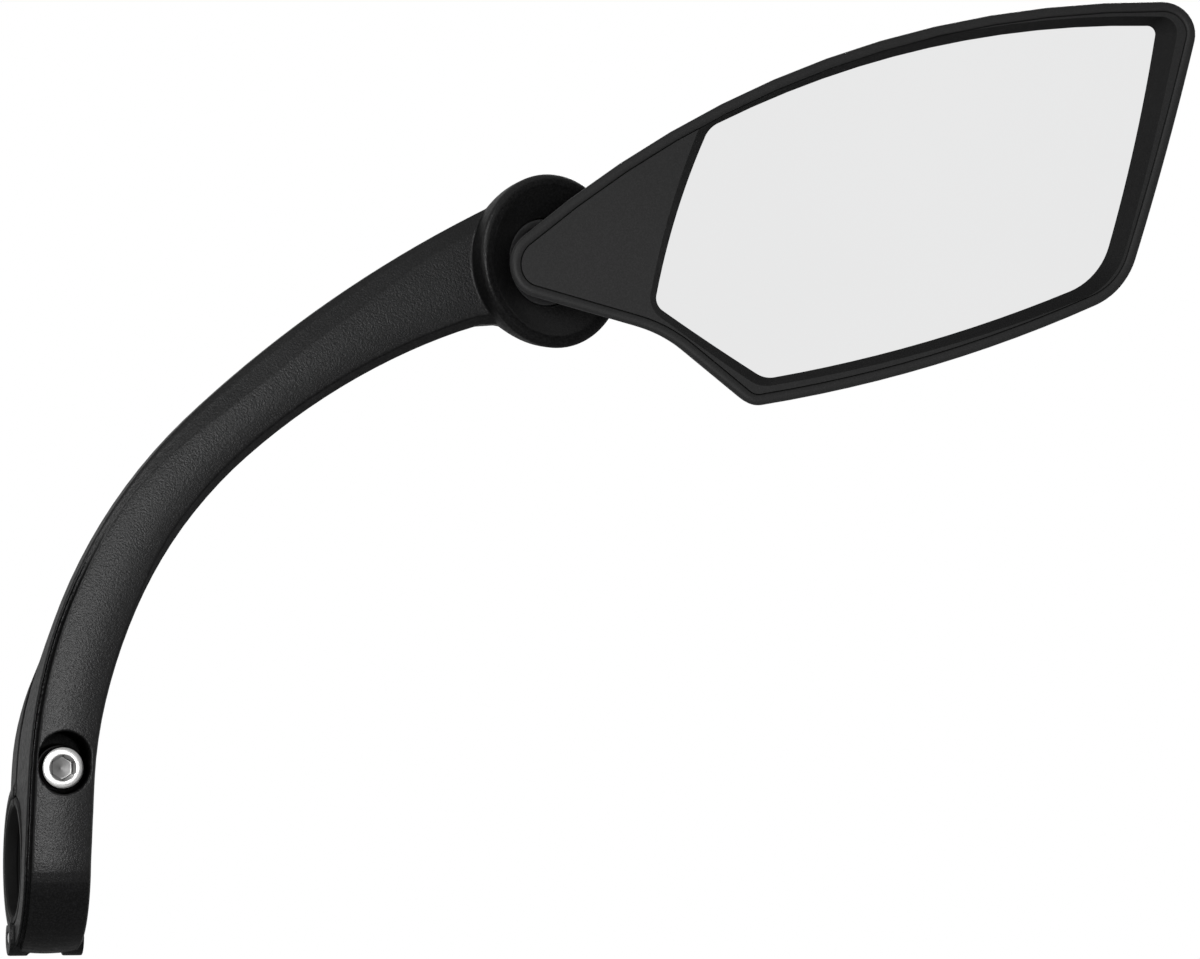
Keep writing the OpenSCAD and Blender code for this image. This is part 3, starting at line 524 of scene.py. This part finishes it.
def loop_at(bm, radius, height, sides):
    """A loop of edges round Z: a circle, or a polygon cut into as many points."""
    older = len(bm.verts)
    bmesh.ops.create_circle(bm, cap_ends=False, radius=radius * MM, segments=sides)
    if sides < ROUND:
        outline = list({edge for vert in list(bm.verts)[older:] for edge in vert.link_edges})
        bmesh.ops.subdivide_edges(bm, edges=outline, cuts=ROUND // sides - 1)
    verts = list(bm.verts)[older:]
    bmesh.ops.translate(bm, verts=verts, vec=(0, 0, height * MM))
    return list({edge for vert in verts for edge in vert.link_edges})


def lofted(name, loops, ring=False):
    """A closed shape of loops bridged in order. Its ends are capped, or joined where it is a ring."""
    bm = bmesh.new()
    made = [loop_at(bm, *loop) for loop in loops]
    for one, other in zip(made, made[1:]):
        bmesh.ops.bridge_loops(bm, edges=one + other)
    if ring:
        bmesh.ops.bridge_loops(bm, edges=made[0] + made[-1])
    else:
        for edges in (made[0], made[-1]):
            bmesh.ops.contextual_create(bm, geom=edges)
    bmesh.ops.recalc_face_normals(bm, faces=bm.faces)
    check_closed(bm, name)
    return bm


def merged_copy(node):
    """A copy of a CAD node's mesh with its doubled corners merged."""
    bm = bmesh.new()
    bm.from_mesh(frame["nodes"][node].data)
    bmesh.ops.remove_doubles(bm, verts=bm.verts, dist=1e-6)
    return bm


def flat_faces(bm):
    """Joins the triangles of flat faces."""
    bmesh.ops.dissolve_limit(bm, angle_limit=math.radians(0.6), use_dissolve_boundaries=False,
                             verts=bm.verts, edges=bm.edges, delimit=set())
    return bm


def bake(piece):
    """Makes the piece's modifiers part of its mesh, and counts its triangles."""
    graph = bpy.context.evaluated_depsgraph_get()
    piece.data = bpy.data.meshes.new_from_object(piece.evaluated_get(graph))
    piece.modifiers.clear()
    return sum(len(face.vertices) - 2 for face in piece.data.polygons)


def through(points, steps):
    """A smooth curve through points, cut into steps between each two."""
    ends = [points[0], *points, points[-1]]
    curve = []
    for before, one, other, after in zip(ends, ends[1:], ends[2:], ends[3:]):
        for k in range(steps):
            t = k / steps
            curve.append(tuple(
                0.5 * (2 * b + (c - a) * t + (2 * a - 5 * b + 4 * c - d) * t ** 2
                       + (3 * b - a - 3 * c + d) * t ** 3)
                for a, b, c, d in zip(before, one, other, after)))
    return curve + [points[-1]]


def moulded(name, bm, material, grain, melt, most=190000):
    """A shape with a fresh even skin, whose edges and joins are melted round as a mould leaves them."""
    piece = new_piece(name, bm, material)
    skin = piece.modifiers.new("skin", "REMESH")
    skin.mode = "VOXEL"
    skin.voxel_size = grain
    soft = piece.modifiers.new("melt", "SMOOTH")
    soft.factor = 0.5
    soft.iterations = melt
    count = bake(piece)
    if count > most:
        piece.modifiers.new("thin", "DECIMATE").ratio = most / count
        bake(piece)
    return dress(piece, material, 180)


def rounded_copy(name, node, material, width, segments=3, angle=28):
    """A node's shape with live rounding on its sharp edges."""
    piece = new_piece(name, flat_faces(merged_copy(node)), material, angle)
    rounding = piece.modifiers.new("rounding", "BEVEL")
    rounding.width = width
    rounding.segments = segments
    rounding.limit_method = "ANGLE"
    rounding.angle_limit = math.radians(angle)
    rounding.harden_normals = False
    even = piece.modifiers.new("even", "WEIGHTED_NORMAL")
    even.keep_sharp = False
    piece.data.shade_smooth()
    piece.data.set_sharp_from_angle(angle=math.pi)
    return piece


# Pieces


class MIRROR_OT_arm(bpy.types.Operator):
    """Moulds the arm with its clamp half and its cup"""

    bl_idname = "mirror.arm"
    bl_label = "Arm"

    def execute(self, context):
        nylon = finish_for("filled_nylon", filled_nylon)
        bm = merged_copy("arm")
        skin = bpy.data.meshes.new("cup_skin")
        cup = self.cup_skin()
        cup.to_mesh(skin)
        cup.free()
        bm.from_mesh(skin)
        bpy.data.meshes.remove(skin)
        arm = moulded("arm_moulding", bm, nylon, sizes().arm_grain, sizes().arm_melt)
        # Painted shade in the counterbore round the screw's head
        self.paint_recess_shade(arm)
        stand_for(arm, "arm")
        return {"FINISHED"}

    def paint_recess_shade(self, arm):
        """Paints shade into the counterbore round the screw's head: its faces take a darker, duller copy of the
        arm's nylon.
        """
        reach, rise, depth = 5.5 * MM, Vector((0, 0, 2 * MM)), 11 * MM
        share, sheen = 0.4, 0.005
        # Painted shade: a darker, duller nylon for the counterbore's faces
        arm.data.materials.append(finish_for("dull_nylon", filled_nylon, share, sheen))
        for face in arm.data.polygons:
            place = face.center
            if SCREW_LOW.y < place.y < SCREW_LOW.y + depth:
                away = place - SCREW_AXIS
                away.y = 0
                face.material_index = int(min(away.length, (away - rise).length) < reach)

    def cup_skin(self):
        """The cup's outside, lip and dish, turned finer than the solid's faces and a hair proud of them."""
        proud, inside, under_throat = 0.04, 10.4, 0.8
        lip_h, lip_edge, mouth_r, throat_r, throat_h, dish_bend = 7, 1, 15.5, 8.98, 3.6, 1.4
        wall_steps, lip_steps, dish_steps, turn_steps = 6, 8, 16, 180
        wall = [(11.6, -11.8), (12, -9.6), (13.2, -6.6), (15.4, -2), (17.1, 2.4), (17.8, lip_h - lip_edge)]
        outline = [(r + proud, h) for r, h in through(wall, wall_steps)]
        lip_r, bend = wall[-1][0] - lip_edge, lip_edge + proud
        for k in range(1, lip_steps + 1):
            angle = math.pi / 2 * k / lip_steps
            outline.append((lip_r + bend * math.cos(angle), lip_h - lip_edge + bend * math.sin(angle)))
        outline.append((mouth_r, lip_h + proud))
        for k in range(1, dish_steps):
            t = 1 - k / dish_steps
            outline.append((throat_r + (mouth_r - throat_r) * t,
                            throat_h + (lip_h - throat_h) * t ** dish_bend + proud))
        outline += [(inside, throat_h - under_throat), (inside, wall[0][1])]
        bm = spun(outline, steps=turn_steps)
        check_closed(bm, "cup_skin")
        bmesh.ops.transform(bm, matrix=CUP_PLACE, verts=bm.verts)
        return bm


class MIRROR_OT_jaw(bpy.types.Operator):
    """Moulds the clamp's rear jaw"""

    bl_idname = "mirror.jaw"
    bl_label = "Jaw"

    def execute(self, context):
        nylon = finish_for("filled_nylon", filled_nylon)
        jaw = moulded("jaw_moulding", merged_copy("clamp_jaw"), nylon, sizes().jaw_grain, sizes().jaw_melt)
        stand_for(jaw, "clamp_jaw")
        return {"FINISHED"}


class MIRROR_OT_liners(bpy.types.Operator):
    """Sweeps the two ribbed rubber liners round the bar"""

    bl_idname = "mirror.liners"
    bl_label = "Bar liners"

    def execute(self, context):
        rubber = finish_for("soft_rubber", soft_rubber)
        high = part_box("front_liner")[1]
        half, outer = high.x / MM, high.z / MM
        thickness, ribs, rib_depth, groove, lip = 1.6, 5, 0.3, 0.2, 0.35
        inner, pitch = outer - thickness, 2 * half / ribs
        section = [(-half, outer - lip), (-half + lip, outer), (half - lip, outer), (half, outer - lip)]
        for k in range(ribs):
            inset, fall = (0, lip) if k in (0, ribs - 1) else (groove / 2, rib_depth)
            right, left = half - k * pitch - inset, half - (k + 1) * pitch + inset
            section += [(right, inner + fall), (right - lip, inner), (left + lip, inner), (left, inner + fall)]
        arc, steps = math.radians(174.6), 48
        for node, side in (("front_liner", -1), ("rear_liner", 1)):
            bm = swept_section([(x, 0, r) for x, r in section], (1, 0, 0), side * -arc, steps)
            turn = Matrix.Rotation(side * -(math.pi - arc) / 2, 4, "X")
            bmesh.ops.transform(bm, matrix=turn, verts=bm.verts)
            check_closed(bm, node)
            stand_for(new_piece(node + "_ribbed", bm, rubber, 40), node)
        return {"FINISHED"}


class MIRROR_OT_hinge(bpy.types.Operator):
    """Turns the hinge pin with its two peened ends"""

    bl_idname = "mirror.hinge"
    bl_label = "Hinge pin"

    def execute(self, context):
        low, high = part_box("hinge_pin")
        length, radius = (high.x - low.x) / MM, (high.z - low.z) / 2 / MM
        # A peened end: share of the pin's radius, and depth
        peened = ((0, 0), (0.55, 0.06), (0.85, 0.14), (1, 0.28))
        outline = [(share * radius, depth) for share, depth in peened]
        outline += [(share * radius, length - depth) for share, depth in reversed(peened)]
        steel = steel_round(HINGE, "X", "pin_steel")
        pin = turned("hinge_pin_steel", outline, HINGE_PLACE, steel, closed=False, edge=0.05 * MM)
        stand_for(pin, "hinge_pin")
        return {"FINISHED"}


class MIRROR_OT_fasteners(bpy.types.Operator):
    """Makes the clamp's socket screw, washer and nut"""

    bl_idname = "mirror.fasteners"
    bl_label = "Clamp screw, washer and nut"

    def execute(self, context):
        self.make_screw()
        self.make_washer()
        self.make_nut()
        return {"FINISHED"}

    def make_screw(self):
        head_r = (SCREW_HIGH.x - SCREW_LOW.x) / 2 / MM
        length = (SCREW_HIGH.y - SCREW_LOW.y) / MM
        seat = (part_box("clamp_washer")[0].y - SCREW_LOW.y) / MM
        key_r, key_depth, key_cone = hex_corner(4), 2.6, 0.9
        shank_r, shank_end = 2.5, -0.5 - SCREW_LOW.y / MM
        crest_r, root_r, tip_r, pitch, run_in, run_out = 2.18, 1.9, 1.55, 0.8, 0.45, 1.2
        loops = rounds((END_R, key_depth + key_cone), (1.85, key_depth))
        loops += hexes((key_r - 0.02, key_depth), (key_r, 0.35))
        loops += rounds((2.62, 0.02), (2.78, 0), (head_r - 0.62, 0), (head_r - 0.22, 0.12), (head_r - 0.04, 0.4),
                        (head_r, 0.75), (head_r, seat - 0.3), (head_r - 0.3, seat), (shank_r + 0.4, seat),
                        (shank_r, seat + 0.35), (shank_r, shank_end - 0.1), (2, shank_end + 0.25))
        along = shank_end + run_in
        while along < length - run_out:
            loops += rounds((crest_r, along + 0.3 * pitch), (crest_r, along + 0.45 * pitch),
                            (root_r, along + pitch))
            along += pitch
        loops += rounds((root_r, length - 0.4), (tip_r, length), (END_R, length))
        bm = lofted("clamp_screw", loops)
        socket_from, socket_end, socket_r = 0.1 * MM, 4 * MM, 2.45 * MM
        # Painted shade: the faces inside the hex socket take a darker steel
        for face in bm.faces:
            middle = face.calc_center_median()
            face.material_index = int(socket_from < middle.z < socket_end and middle.xy.length < socket_r)
        bmesh.ops.transform(bm, matrix=SCREW_PLACE, verts=bm.verts)
        steel = steel_round(SCREW_AXIS, "Y", "bright_steel")
        screw = stand_for(new_piece("clamp_screw_socket_head", bm, steel, 32), "clamp_screw")
        screw.data.materials.append(finish_for("socket_steel", turned_metal, shade(colours().steel, 0.42),
                                               SCREW_AXIS, "Y", 0.36))

    def make_washer(self):
        low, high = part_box("clamp_washer")
        near, far = (low.y - SCREW_LOW.y) / MM, (high.y - SCREW_LOW.y) / MM
        outer = (high.x - low.x) / 2 / MM
        ring = [(SCREW_HOLE_R, near), (outer, near), (outer, far), (SCREW_HOLE_R, far)]
        black = finish_for("blackened_steel", turned_metal, shade(colours().steel, 0.04), SCREW_AXIS, "Y", 0.5)
        stand_for(turned("clamp_washer_plain", ring, SCREW_PLACE, black), "clamp_washer")

    def make_nut(self):
        low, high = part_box("clamp_nut")
        near, far = (low.y - SCREW_LOW.y) / MM, (high.y - SCREW_LOW.y) / MM
        flat = min(high.x - low.x, high.z - low.z) / 2 / MM
        corner = hex_corner(2 * flat)
        mouth_r, mouth_h, crown_r, crown_h = 2.95, 0.35, flat - 0.2, 0.55
        loops = rounds((SCREW_HOLE_R, near + mouth_h), (mouth_r, near), (crown_r, near))
        loops += hexes((corner, near + crown_h), (corner, far - crown_h))
        loops += rounds((crown_r, far), (mouth_r, far), (SCREW_HOLE_R, far - mouth_h))
        bm = lofted("clamp_nut", loops, ring=True)
        bmesh.ops.transform(bm, matrix=SCREW_PLACE, verts=bm.verts)
        steel = steel_round(SCREW_AXIS, "Y", "bright_steel")
        stand_for(new_piece("clamp_nut_hex", bm, steel, 28), "clamp_nut")


class MIRROR_OT_ball_joint(bpy.types.Operator):
    """Makes the friction ring, pressure pad, spring, cap and seal inside the cup"""

    bl_idname = "mirror.ball_joint"
    bl_label = "Ball joint"

    def execute(self, context):
        self.make_ring()
        self.make_pad()
        self.make_spring()
        nylon = finish_for("filled_nylon", filled_nylon)
        stand_for(rounded_copy("rear_cap_slotted", "rear_cap", nylon, 0.2 * MM), "rear_cap")
        self.make_seal()
        return {"FINISHED"}

    def make_ring(self):
        inner, outer, back, front, slices = 8.15, 9.4, -2.6, 3.2, 12
        heights = [back + (front - back) * k / slices for k in range(slices + 1)]
        ring = [(math.sqrt(inner ** 2 - z ** 2), z) for z in reversed(heights)]
        ring += [(math.sqrt(outer ** 2 - z ** 2), z) for z in heights]
        acetal = finish_for("black_acetal", black_acetal)
        stand_for(turned("friction_ring", ring, CUP_PLACE, acetal), "socket_liner")

    def make_pad(self):
        seat_r, pad_r, pad_front, pad_back, boss_r, boss_back, slices = 8.3, 9.5, -5.6, -7.2, 4.6, -9.3, 8
        rim = math.sqrt(seat_r ** 2 - pad_front ** 2)
        across = [rim * k / slices for k in range(slices + 1)]
        pad = [(r, -math.sqrt(seat_r ** 2 - r ** 2)) for r in across]
        pad += [(pad_r, pad_front), (pad_r, pad_back), (boss_r, pad_back), (boss_r, boss_back), (0, boss_back)]
        acetal = finish_for("black_acetal", black_acetal)
        stand_for(turned("pressure_pad_turned", pad, CUP_PLACE, acetal, closed=False), "pressure_pad")

    def make_spring(self):
        wire_r, coil_r, low, high, turns, sides, steps = 0.45, 6.6, -10.3, -7.7, 2.25, 12, 108
        circle = [(coil_r + wire_r * math.cos(a), 0, low + wire_r * math.sin(a))
                  for a in (2 * math.pi * k / sides for k in range(sides))]
        bm = swept_section(circle, (0, 0, 1), 2 * math.pi * turns, steps, high - low)
        check_closed(bm, "pressure_spring")
        bmesh.ops.transform(bm, matrix=CUP_PLACE, verts=bm.verts)
        steel = steel_round(BALL, "Y", "spring_steel")
        stand_for(new_piece("pressure_spring_coil", bm, steel, 50), "pressure_spring")

    def make_seal(self):
        seal_h, seal_r, section_r, sides = -11.9, 9.2, 0.45, 16
        seal = [(seal_r + section_r * math.cos(a), seal_h + section_r * math.sin(a))
                for a in (2 * math.pi * k / sides for k in range(sides))]
        rubber = finish_for("soft_rubber", soft_rubber)
        stand_for(turned("cap_seal_ring", seal, CUP_PLACE, rubber), "cap_seal")


class MIRROR_OT_stud(bpy.types.Operator):
    """Turns the ball stud and the parts that fix it to the head"""

    bl_idname = "mirror.stud"
    bl_label = "Ball stud"

    def execute(self, context):
        self.make_stud()
        self.make_insert()
        self.make_screw()
        self.make_washers()
        return {"FINISHED"}

    def make_stud(self):
        ball, neck, flange_r, flange_t, fillet = BALL_R / MM, 4, 6.2, 1.8, 1.2
        hole_r, hole_end, ball_steps, fillet_steps = 2.1, INSERT_FROM - 2, 28, 6
        # Where the ball runs into the neck: radius beyond the neck's, and height above the ball's end
        blend = ((0.25, 0), (0.05, 0.3), (0, 0.8))
        join = math.asin((neck + blend[0][0]) / ball)
        stud = [(0, -ball)]
        for k in range(1, ball_steps + 1):
            angle = (math.pi - join) * k / ball_steps
            stud.append((ball * math.sin(angle), -ball * math.cos(angle)))
        ball_end = stud[-1][1]
        stud += [(neck + beyond, ball_end + above) for beyond, above in blend[1:]]
        for k in range(fillet_steps + 1):
            angle = math.pi / 2 * k / fillet_steps
            stud.append((neck + fillet * (1 - math.cos(angle)),
                         STUD_SEAT - flange_t - fillet * (1 - math.sin(angle))))
        stud += [(flange_r, STUD_SEAT - flange_t), (flange_r, STUD_SEAT), (INSERT_R, STUD_SEAT),
                 (INSERT_R, INSERT_FROM), (hole_r, INSERT_FROM), (hole_r, hole_end), (0, hole_end)]
        plastic = finish_for("smooth_ball_plastic", stud_plastic)
        piece = turned("ball_stud_turned", stud, STUD_PLACE, plastic, closed=False)
        stand_for(piece, "ball_stud")

    def make_insert(self):
        bore_r, lead_r, groove_r, groove_from, groove_end, slope = 2.05, 2.7, 2.6, 10.6, 11.9, 0.3
        outline = [(bore_r, INSERT_FROM), (lead_r, INSERT_FROM), (INSERT_R, INSERT_FROM + slope),
                   (INSERT_R, groove_from), (groove_r, groove_from + slope), (groove_r, groove_end - slope),
                   (INSERT_R, groove_end), (INSERT_R, STUD_SEAT), (bore_r, STUD_SEAT)]
        brass = finish_for("insert_brass", turned_metal, colours().brass, BALL, "Y", 0.28)
        piece = turned("stud_insert_brass", outline, STUD_PLACE, brass, edge=0.06 * MM)
        stand_for(piece, "stud_insert")

    def make_screw(self):
        under, head_h, head_r, key_r, key_floor = 20.3, 2.4, 3.8, hex_corner(2.5), 0.9
        crest_r, root_r, pitch, flank, run_in, thread_end = 2, 1.8, 0.7, 0.3, 1, 9.4
        tip_r, tip_h, tip_edge = 1.6, 8.5, 0.05
        loops = rounds((END_R, under + 0.7), (1.1, under + key_floor))
        loops += hexes((key_r, under + key_floor), (key_r, under + head_h - 0.25))
        loops += rounds((1.75, under + head_h - 0.04), (1.9, under + head_h), (2.7, under + head_h),
                        (head_r - 0.4, under + 2.1), (head_r - 0.08, under + 1.6), (head_r, under + 1),
                        (head_r, under + 0.15), (head_r - 0.15, under), (crest_r + 0.2, under),
                        (crest_r, under - 0.3))
        along = under - run_in
        while along > thread_end:
            loops += rounds((crest_r, along), (root_r, along - flank), (crest_r, along - 2 * flank))
            along -= pitch
        loops += rounds((tip_r, tip_h + tip_edge), (END_R, tip_h))
        bm = lofted("ball_screw", loops)
        bmesh.ops.transform(bm, matrix=STUD_PLACE, verts=bm.verts)
        steel = steel_round(BALL, "Y", "stud_steel")
        stand_for(new_piece("ball_screw_socket_head", bm, steel, 32), "ball_screw")

    def make_washers(self):
        steel = steel_round(BALL, "Y", "stud_steel")
        acetal = finish_for("black_acetal", black_acetal)
        for name, node, inner, outer, material, slot in (
                ("ball_washer_flat", "ball_washer", 2.05, 4.8, steel, "steel"),
                ("friction_washer_disc", "friction_washer", 2.1, 6.2, acetal, "acetal"),
                ("wear_plate_disc", "wear_plate", 2.05, 6.6, steel, "steel")):
            low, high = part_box(node)
            near, far = (BALL.y - high.y) / MM, (BALL.y - low.y) / MM
            ring = [(inner, near), (outer, near), (outer, far), (inner, far)]
            stand_for(turned(name, ring, STUD_PLACE, material, edge=0.08 * MM), node)


class MIRROR_OT_head(bpy.types.Operator):
    """Makes the head's back shell and front bezel"""

    bl_idname = "mirror.head"
    bl_label = "Head shell and bezel"

    def execute(self, context):
        plastic = finish_for("matt_head_plastic", head_plastic)
        bm = merged_copy("back_shell")
        bmesh.ops.join_triangles(bm, faces=bm.faces, angle_face_threshold=math.radians(40),
                                 angle_shape_threshold=math.radians(60))
        stand_for(new_piece("back_shell_moulding", bm, plastic, 50), "back_shell")
        bezel = rounded_copy("front_bezel_moulding", "front_bezel", plastic, sizes().edge_break)
        # Painted shade: the wall round the lens takes a darker, duller copy of the head plastic than the flat
        # front
        share, sheen, front_normal = 0.55, 0.02, -0.98
        bezel.data.materials.append(finish_for("dull_wall_plastic", head_plastic, share, sheen))
        for face in bezel.data.polygons:
            face.material_index = int(face.normal.y > front_normal)
        stand_for(bezel, "front_bezel")
        return {"FINISHED"}


class MIRROR_OT_lens(bpy.types.Operator):
    """Makes the silvered lens and the foam behind it"""

    bl_idname = "mirror.lens"
    bl_label = "Lens"

    def execute(self, context):
        ground_edge, foam_edge = 0.15 * MM, 0.4 * MM
        coat = finish_for("mirror_coat", mirror_coat)
        glass = rounded_copy("mirror_glass_ground", "mirror_glass", coat, ground_edge)
        stand_for(glass, "mirror_glass")
        foam = rounded_copy("glass_pad_foam", "glass_pad", finish_for("foam_tape", foam_finish), foam_edge)
        stand_for(foam, "glass_pad")
        return {"FINISHED"}


class MIRROR_OT_studio(bpy.types.Operator):
    """Sets up the floor, the light and the camera"""

    bl_idname = "mirror.studio"
    bl_label = "Studio"

    def execute(self, context):
        self.make_camera(context)
        self.make_floor(context)
        self.make_world(context)
        clamp = Vector((0, 0, 0.025))
        for name, target, direction, size, distance, power in (
                ("key_lamp", clamp, (-0.04, -1, 0.05), 0.16, 0.75, 3.3),
                ("fill_lamp", MIDDLE, (-0.62, -0.6, 0.5), 0.5, 1.5, 10),
                ("back_lamp", MIDDLE, (0.5, 0.78, 0.42), 0.6, 1.5, 20)):
            self.make_lamp(context, name, target, direction, size, distance, power)
        context.scene.view_settings.view_transform = "Standard"
        return {"FINISHED"}

    def make_camera(self, context):
        studio = context.scene.mirror_studio
        data = bpy.data.cameras.new("camera")
        data.lens = studio.focal
        data.sensor_width = 36
        data.clip_start = 0.01
        data.clip_end = 200
        camera = bpy.data.objects.new("camera", data)
        context.scene.collection.objects.link(camera)
        back = Vector((math.sin(studio.azimuth) * math.cos(studio.elevation),
                       -math.cos(studio.azimuth) * math.cos(studio.elevation), math.sin(studio.elevation)))
        camera.matrix_world = axis_place(studio.camera_at, back)
        context.scene.camera = camera

    def make_floor(self, context):
        studio = context.scene.mirror_studio
        bm = bmesh.new()
        floor_r, floor_z = 90, CAD_BOX[0][2] - studio.floor_drop
        bmesh.ops.create_circle(bm, cap_ends=True, radius=floor_r, segments=96)
        bmesh.ops.translate(bm, verts=bm.verts, vec=(MIDDLE.x, MIDDLE.y, floor_z))
        mesh = bpy.data.meshes.new("floor")
        bm.to_mesh(mesh)
        bm.free()
        floor = bpy.data.objects.new("floor", mesh)
        context.scene.collection.objects.link(floor)
        material = bpy.data.materials.new("white_floor")
        material.use_nodes = True
        tree = material.node_tree
        tree.nodes.clear()
        paint = tree.nodes.new("ShaderNodeBsdfDiffuse")
        paint.inputs["Color"].default_value = (0.88, 0.88, 0.88, 1)
        glow = tree.nodes.new("ShaderNodeEmission")
        mix = tree.nodes.new("ShaderNodeMixShader")
        out = tree.nodes.new("ShaderNodeOutputMaterial")
        place = tree.nodes.new("ShaderNodeTexCoord").outputs["Object"]
        span = tree.nodes.new("ShaderNodeVectorMath")
        span.operation = "LENGTH"
        away = tree.nodes.new("ShaderNodeMapRange")
        away.interpolation_type = "SMOOTHSTEP"
        away.inputs["From Min"].default_value = 0.3
        away.inputs["From Max"].default_value = 1.1
        away.inputs["To Min"].default_value = 0.25
        both = tree.nodes.new("ShaderNodeMath")
        both.operation = "MULTIPLY"
        for source, target in (
                (place, span.inputs[0]), (span.outputs["Value"], away.inputs["Value"]),
                (away.outputs["Result"], both.inputs[0]), (seen_directly(tree), both.inputs[1]),
                (both.outputs[0], mix.inputs[0]), (paint.outputs[0], mix.inputs[1]),
                (glow.outputs[0], mix.inputs[2]), (mix.outputs[0], out.inputs["Surface"])):
            tree.links.new(source, target)
        floor.data.materials.append(material)

    def make_world(self, context):
        world = bpy.data.worlds.new("white_studio")
        context.scene.world = world
        world.use_nodes = True
        tree = world.node_tree
        tree.nodes.clear()
        soft = tree.nodes.new("ShaderNodeBackground")
        soft.inputs["Strength"].default_value = context.scene.mirror_studio.ambient
        white = tree.nodes.new("ShaderNodeBackground")
        for node in (soft, white):
            node.inputs["Color"].default_value = (1, 1, 1, 1)
        mix = tree.nodes.new("ShaderNodeMixShader")
        out = tree.nodes.new("ShaderNodeOutputWorld")
        tree.links.new(seen_directly(tree), mix.inputs[0])
        tree.links.new(soft.outputs[0], mix.inputs[1])
        tree.links.new(white.outputs[0], mix.inputs[2])
        tree.links.new(mix.outputs[0], out.inputs["Surface"])

    def make_lamp(self, context, name, target, direction, size, distance, power):
        data = bpy.data.lights.new(name, "AREA")
        data.shape = "DISK"
        data.size = size
        data.energy = power
        lamp = bpy.data.objects.new(name, data)
        context.scene.collection.objects.link(lamp)
        away = Vector(direction).normalized()
        lamp.matrix_world = axis_place(target + away * distance, away)


def seen_directly(tree):
    """1 for a ray that shows the background itself, straight, reflected or through glass."""
    rays = tree.nodes.new("ShaderNodeLightPath")
    most = rays.outputs["Is Camera Ray"]
    for key in ("Is Glossy Ray", "Is Transmission Ray"):
        node = tree.nodes.new("ShaderNodeMath")
        node.operation = "MAXIMUM"
        tree.links.new(most, node.inputs[0])
        tree.links.new(rays.outputs[key], node.inputs[1])
        most = node.outputs[0]
    return most


PIECE_OPERATORS = (MIRROR_OT_arm, MIRROR_OT_jaw, MIRROR_OT_liners, MIRROR_OT_hinge, MIRROR_OT_fasteners,
                   MIRROR_OT_ball_joint, MIRROR_OT_stud, MIRROR_OT_head, MIRROR_OT_lens, MIRROR_OT_studio)


class MIRROR_PT_panel(bpy.types.Panel):
    """Lists the mirror's pieces and settings"""

    bl_idname = "MIRROR_PT_panel"
    bl_label = "Handlebar mirror"
    bl_space_type = "VIEW_3D"
    bl_region_type = "UI"
    bl_category = "Mirror"

    def draw(self, context):
        for group in (context.scene.mirror_sizes, context.scene.mirror_colours, context.scene.mirror_studio):
            column = self.layout.column()
            for key in group.__annotations__:
                column.prop(group, key)
        for operator in PIECE_OPERATORS:
            self.layout.operator(operator.bl_idname)


CLASSES = (MirrorSizes, MirrorColours, MirrorStudio, *PIECE_OPERATORS, MIRROR_PT_panel)


def register():
    for item in CLASSES:
        bpy.utils.register_class(item)
    bpy.types.Scene.mirror_sizes = bpy.props.PointerProperty(type=MirrorSizes)
    bpy.types.Scene.mirror_colours = bpy.props.PointerProperty(type=MirrorColours)
    bpy.types.Scene.mirror_studio = bpy.props.PointerProperty(type=MirrorStudio)


def unregister():
    del bpy.types.Scene.mirror_studio
    del bpy.types.Scene.mirror_colours
    del bpy.types.Scene.mirror_sizes
    for item in reversed(CLASSES):
        bpy.utils.unregister_class(item)


def main():
    register()
    bpy.ops.mirror.arm()
    bpy.ops.mirror.jaw()
    bpy.ops.mirror.liners()
    bpy.ops.mirror.hinge()
    bpy.ops.mirror.fasteners()
    bpy.ops.mirror.ball_joint()
    bpy.ops.mirror.stud()
    bpy.ops.mirror.head()
    bpy.ops.mirror.lens()
    bpy.ops.mirror.studio()


if __name__ == "__main__":
    main()
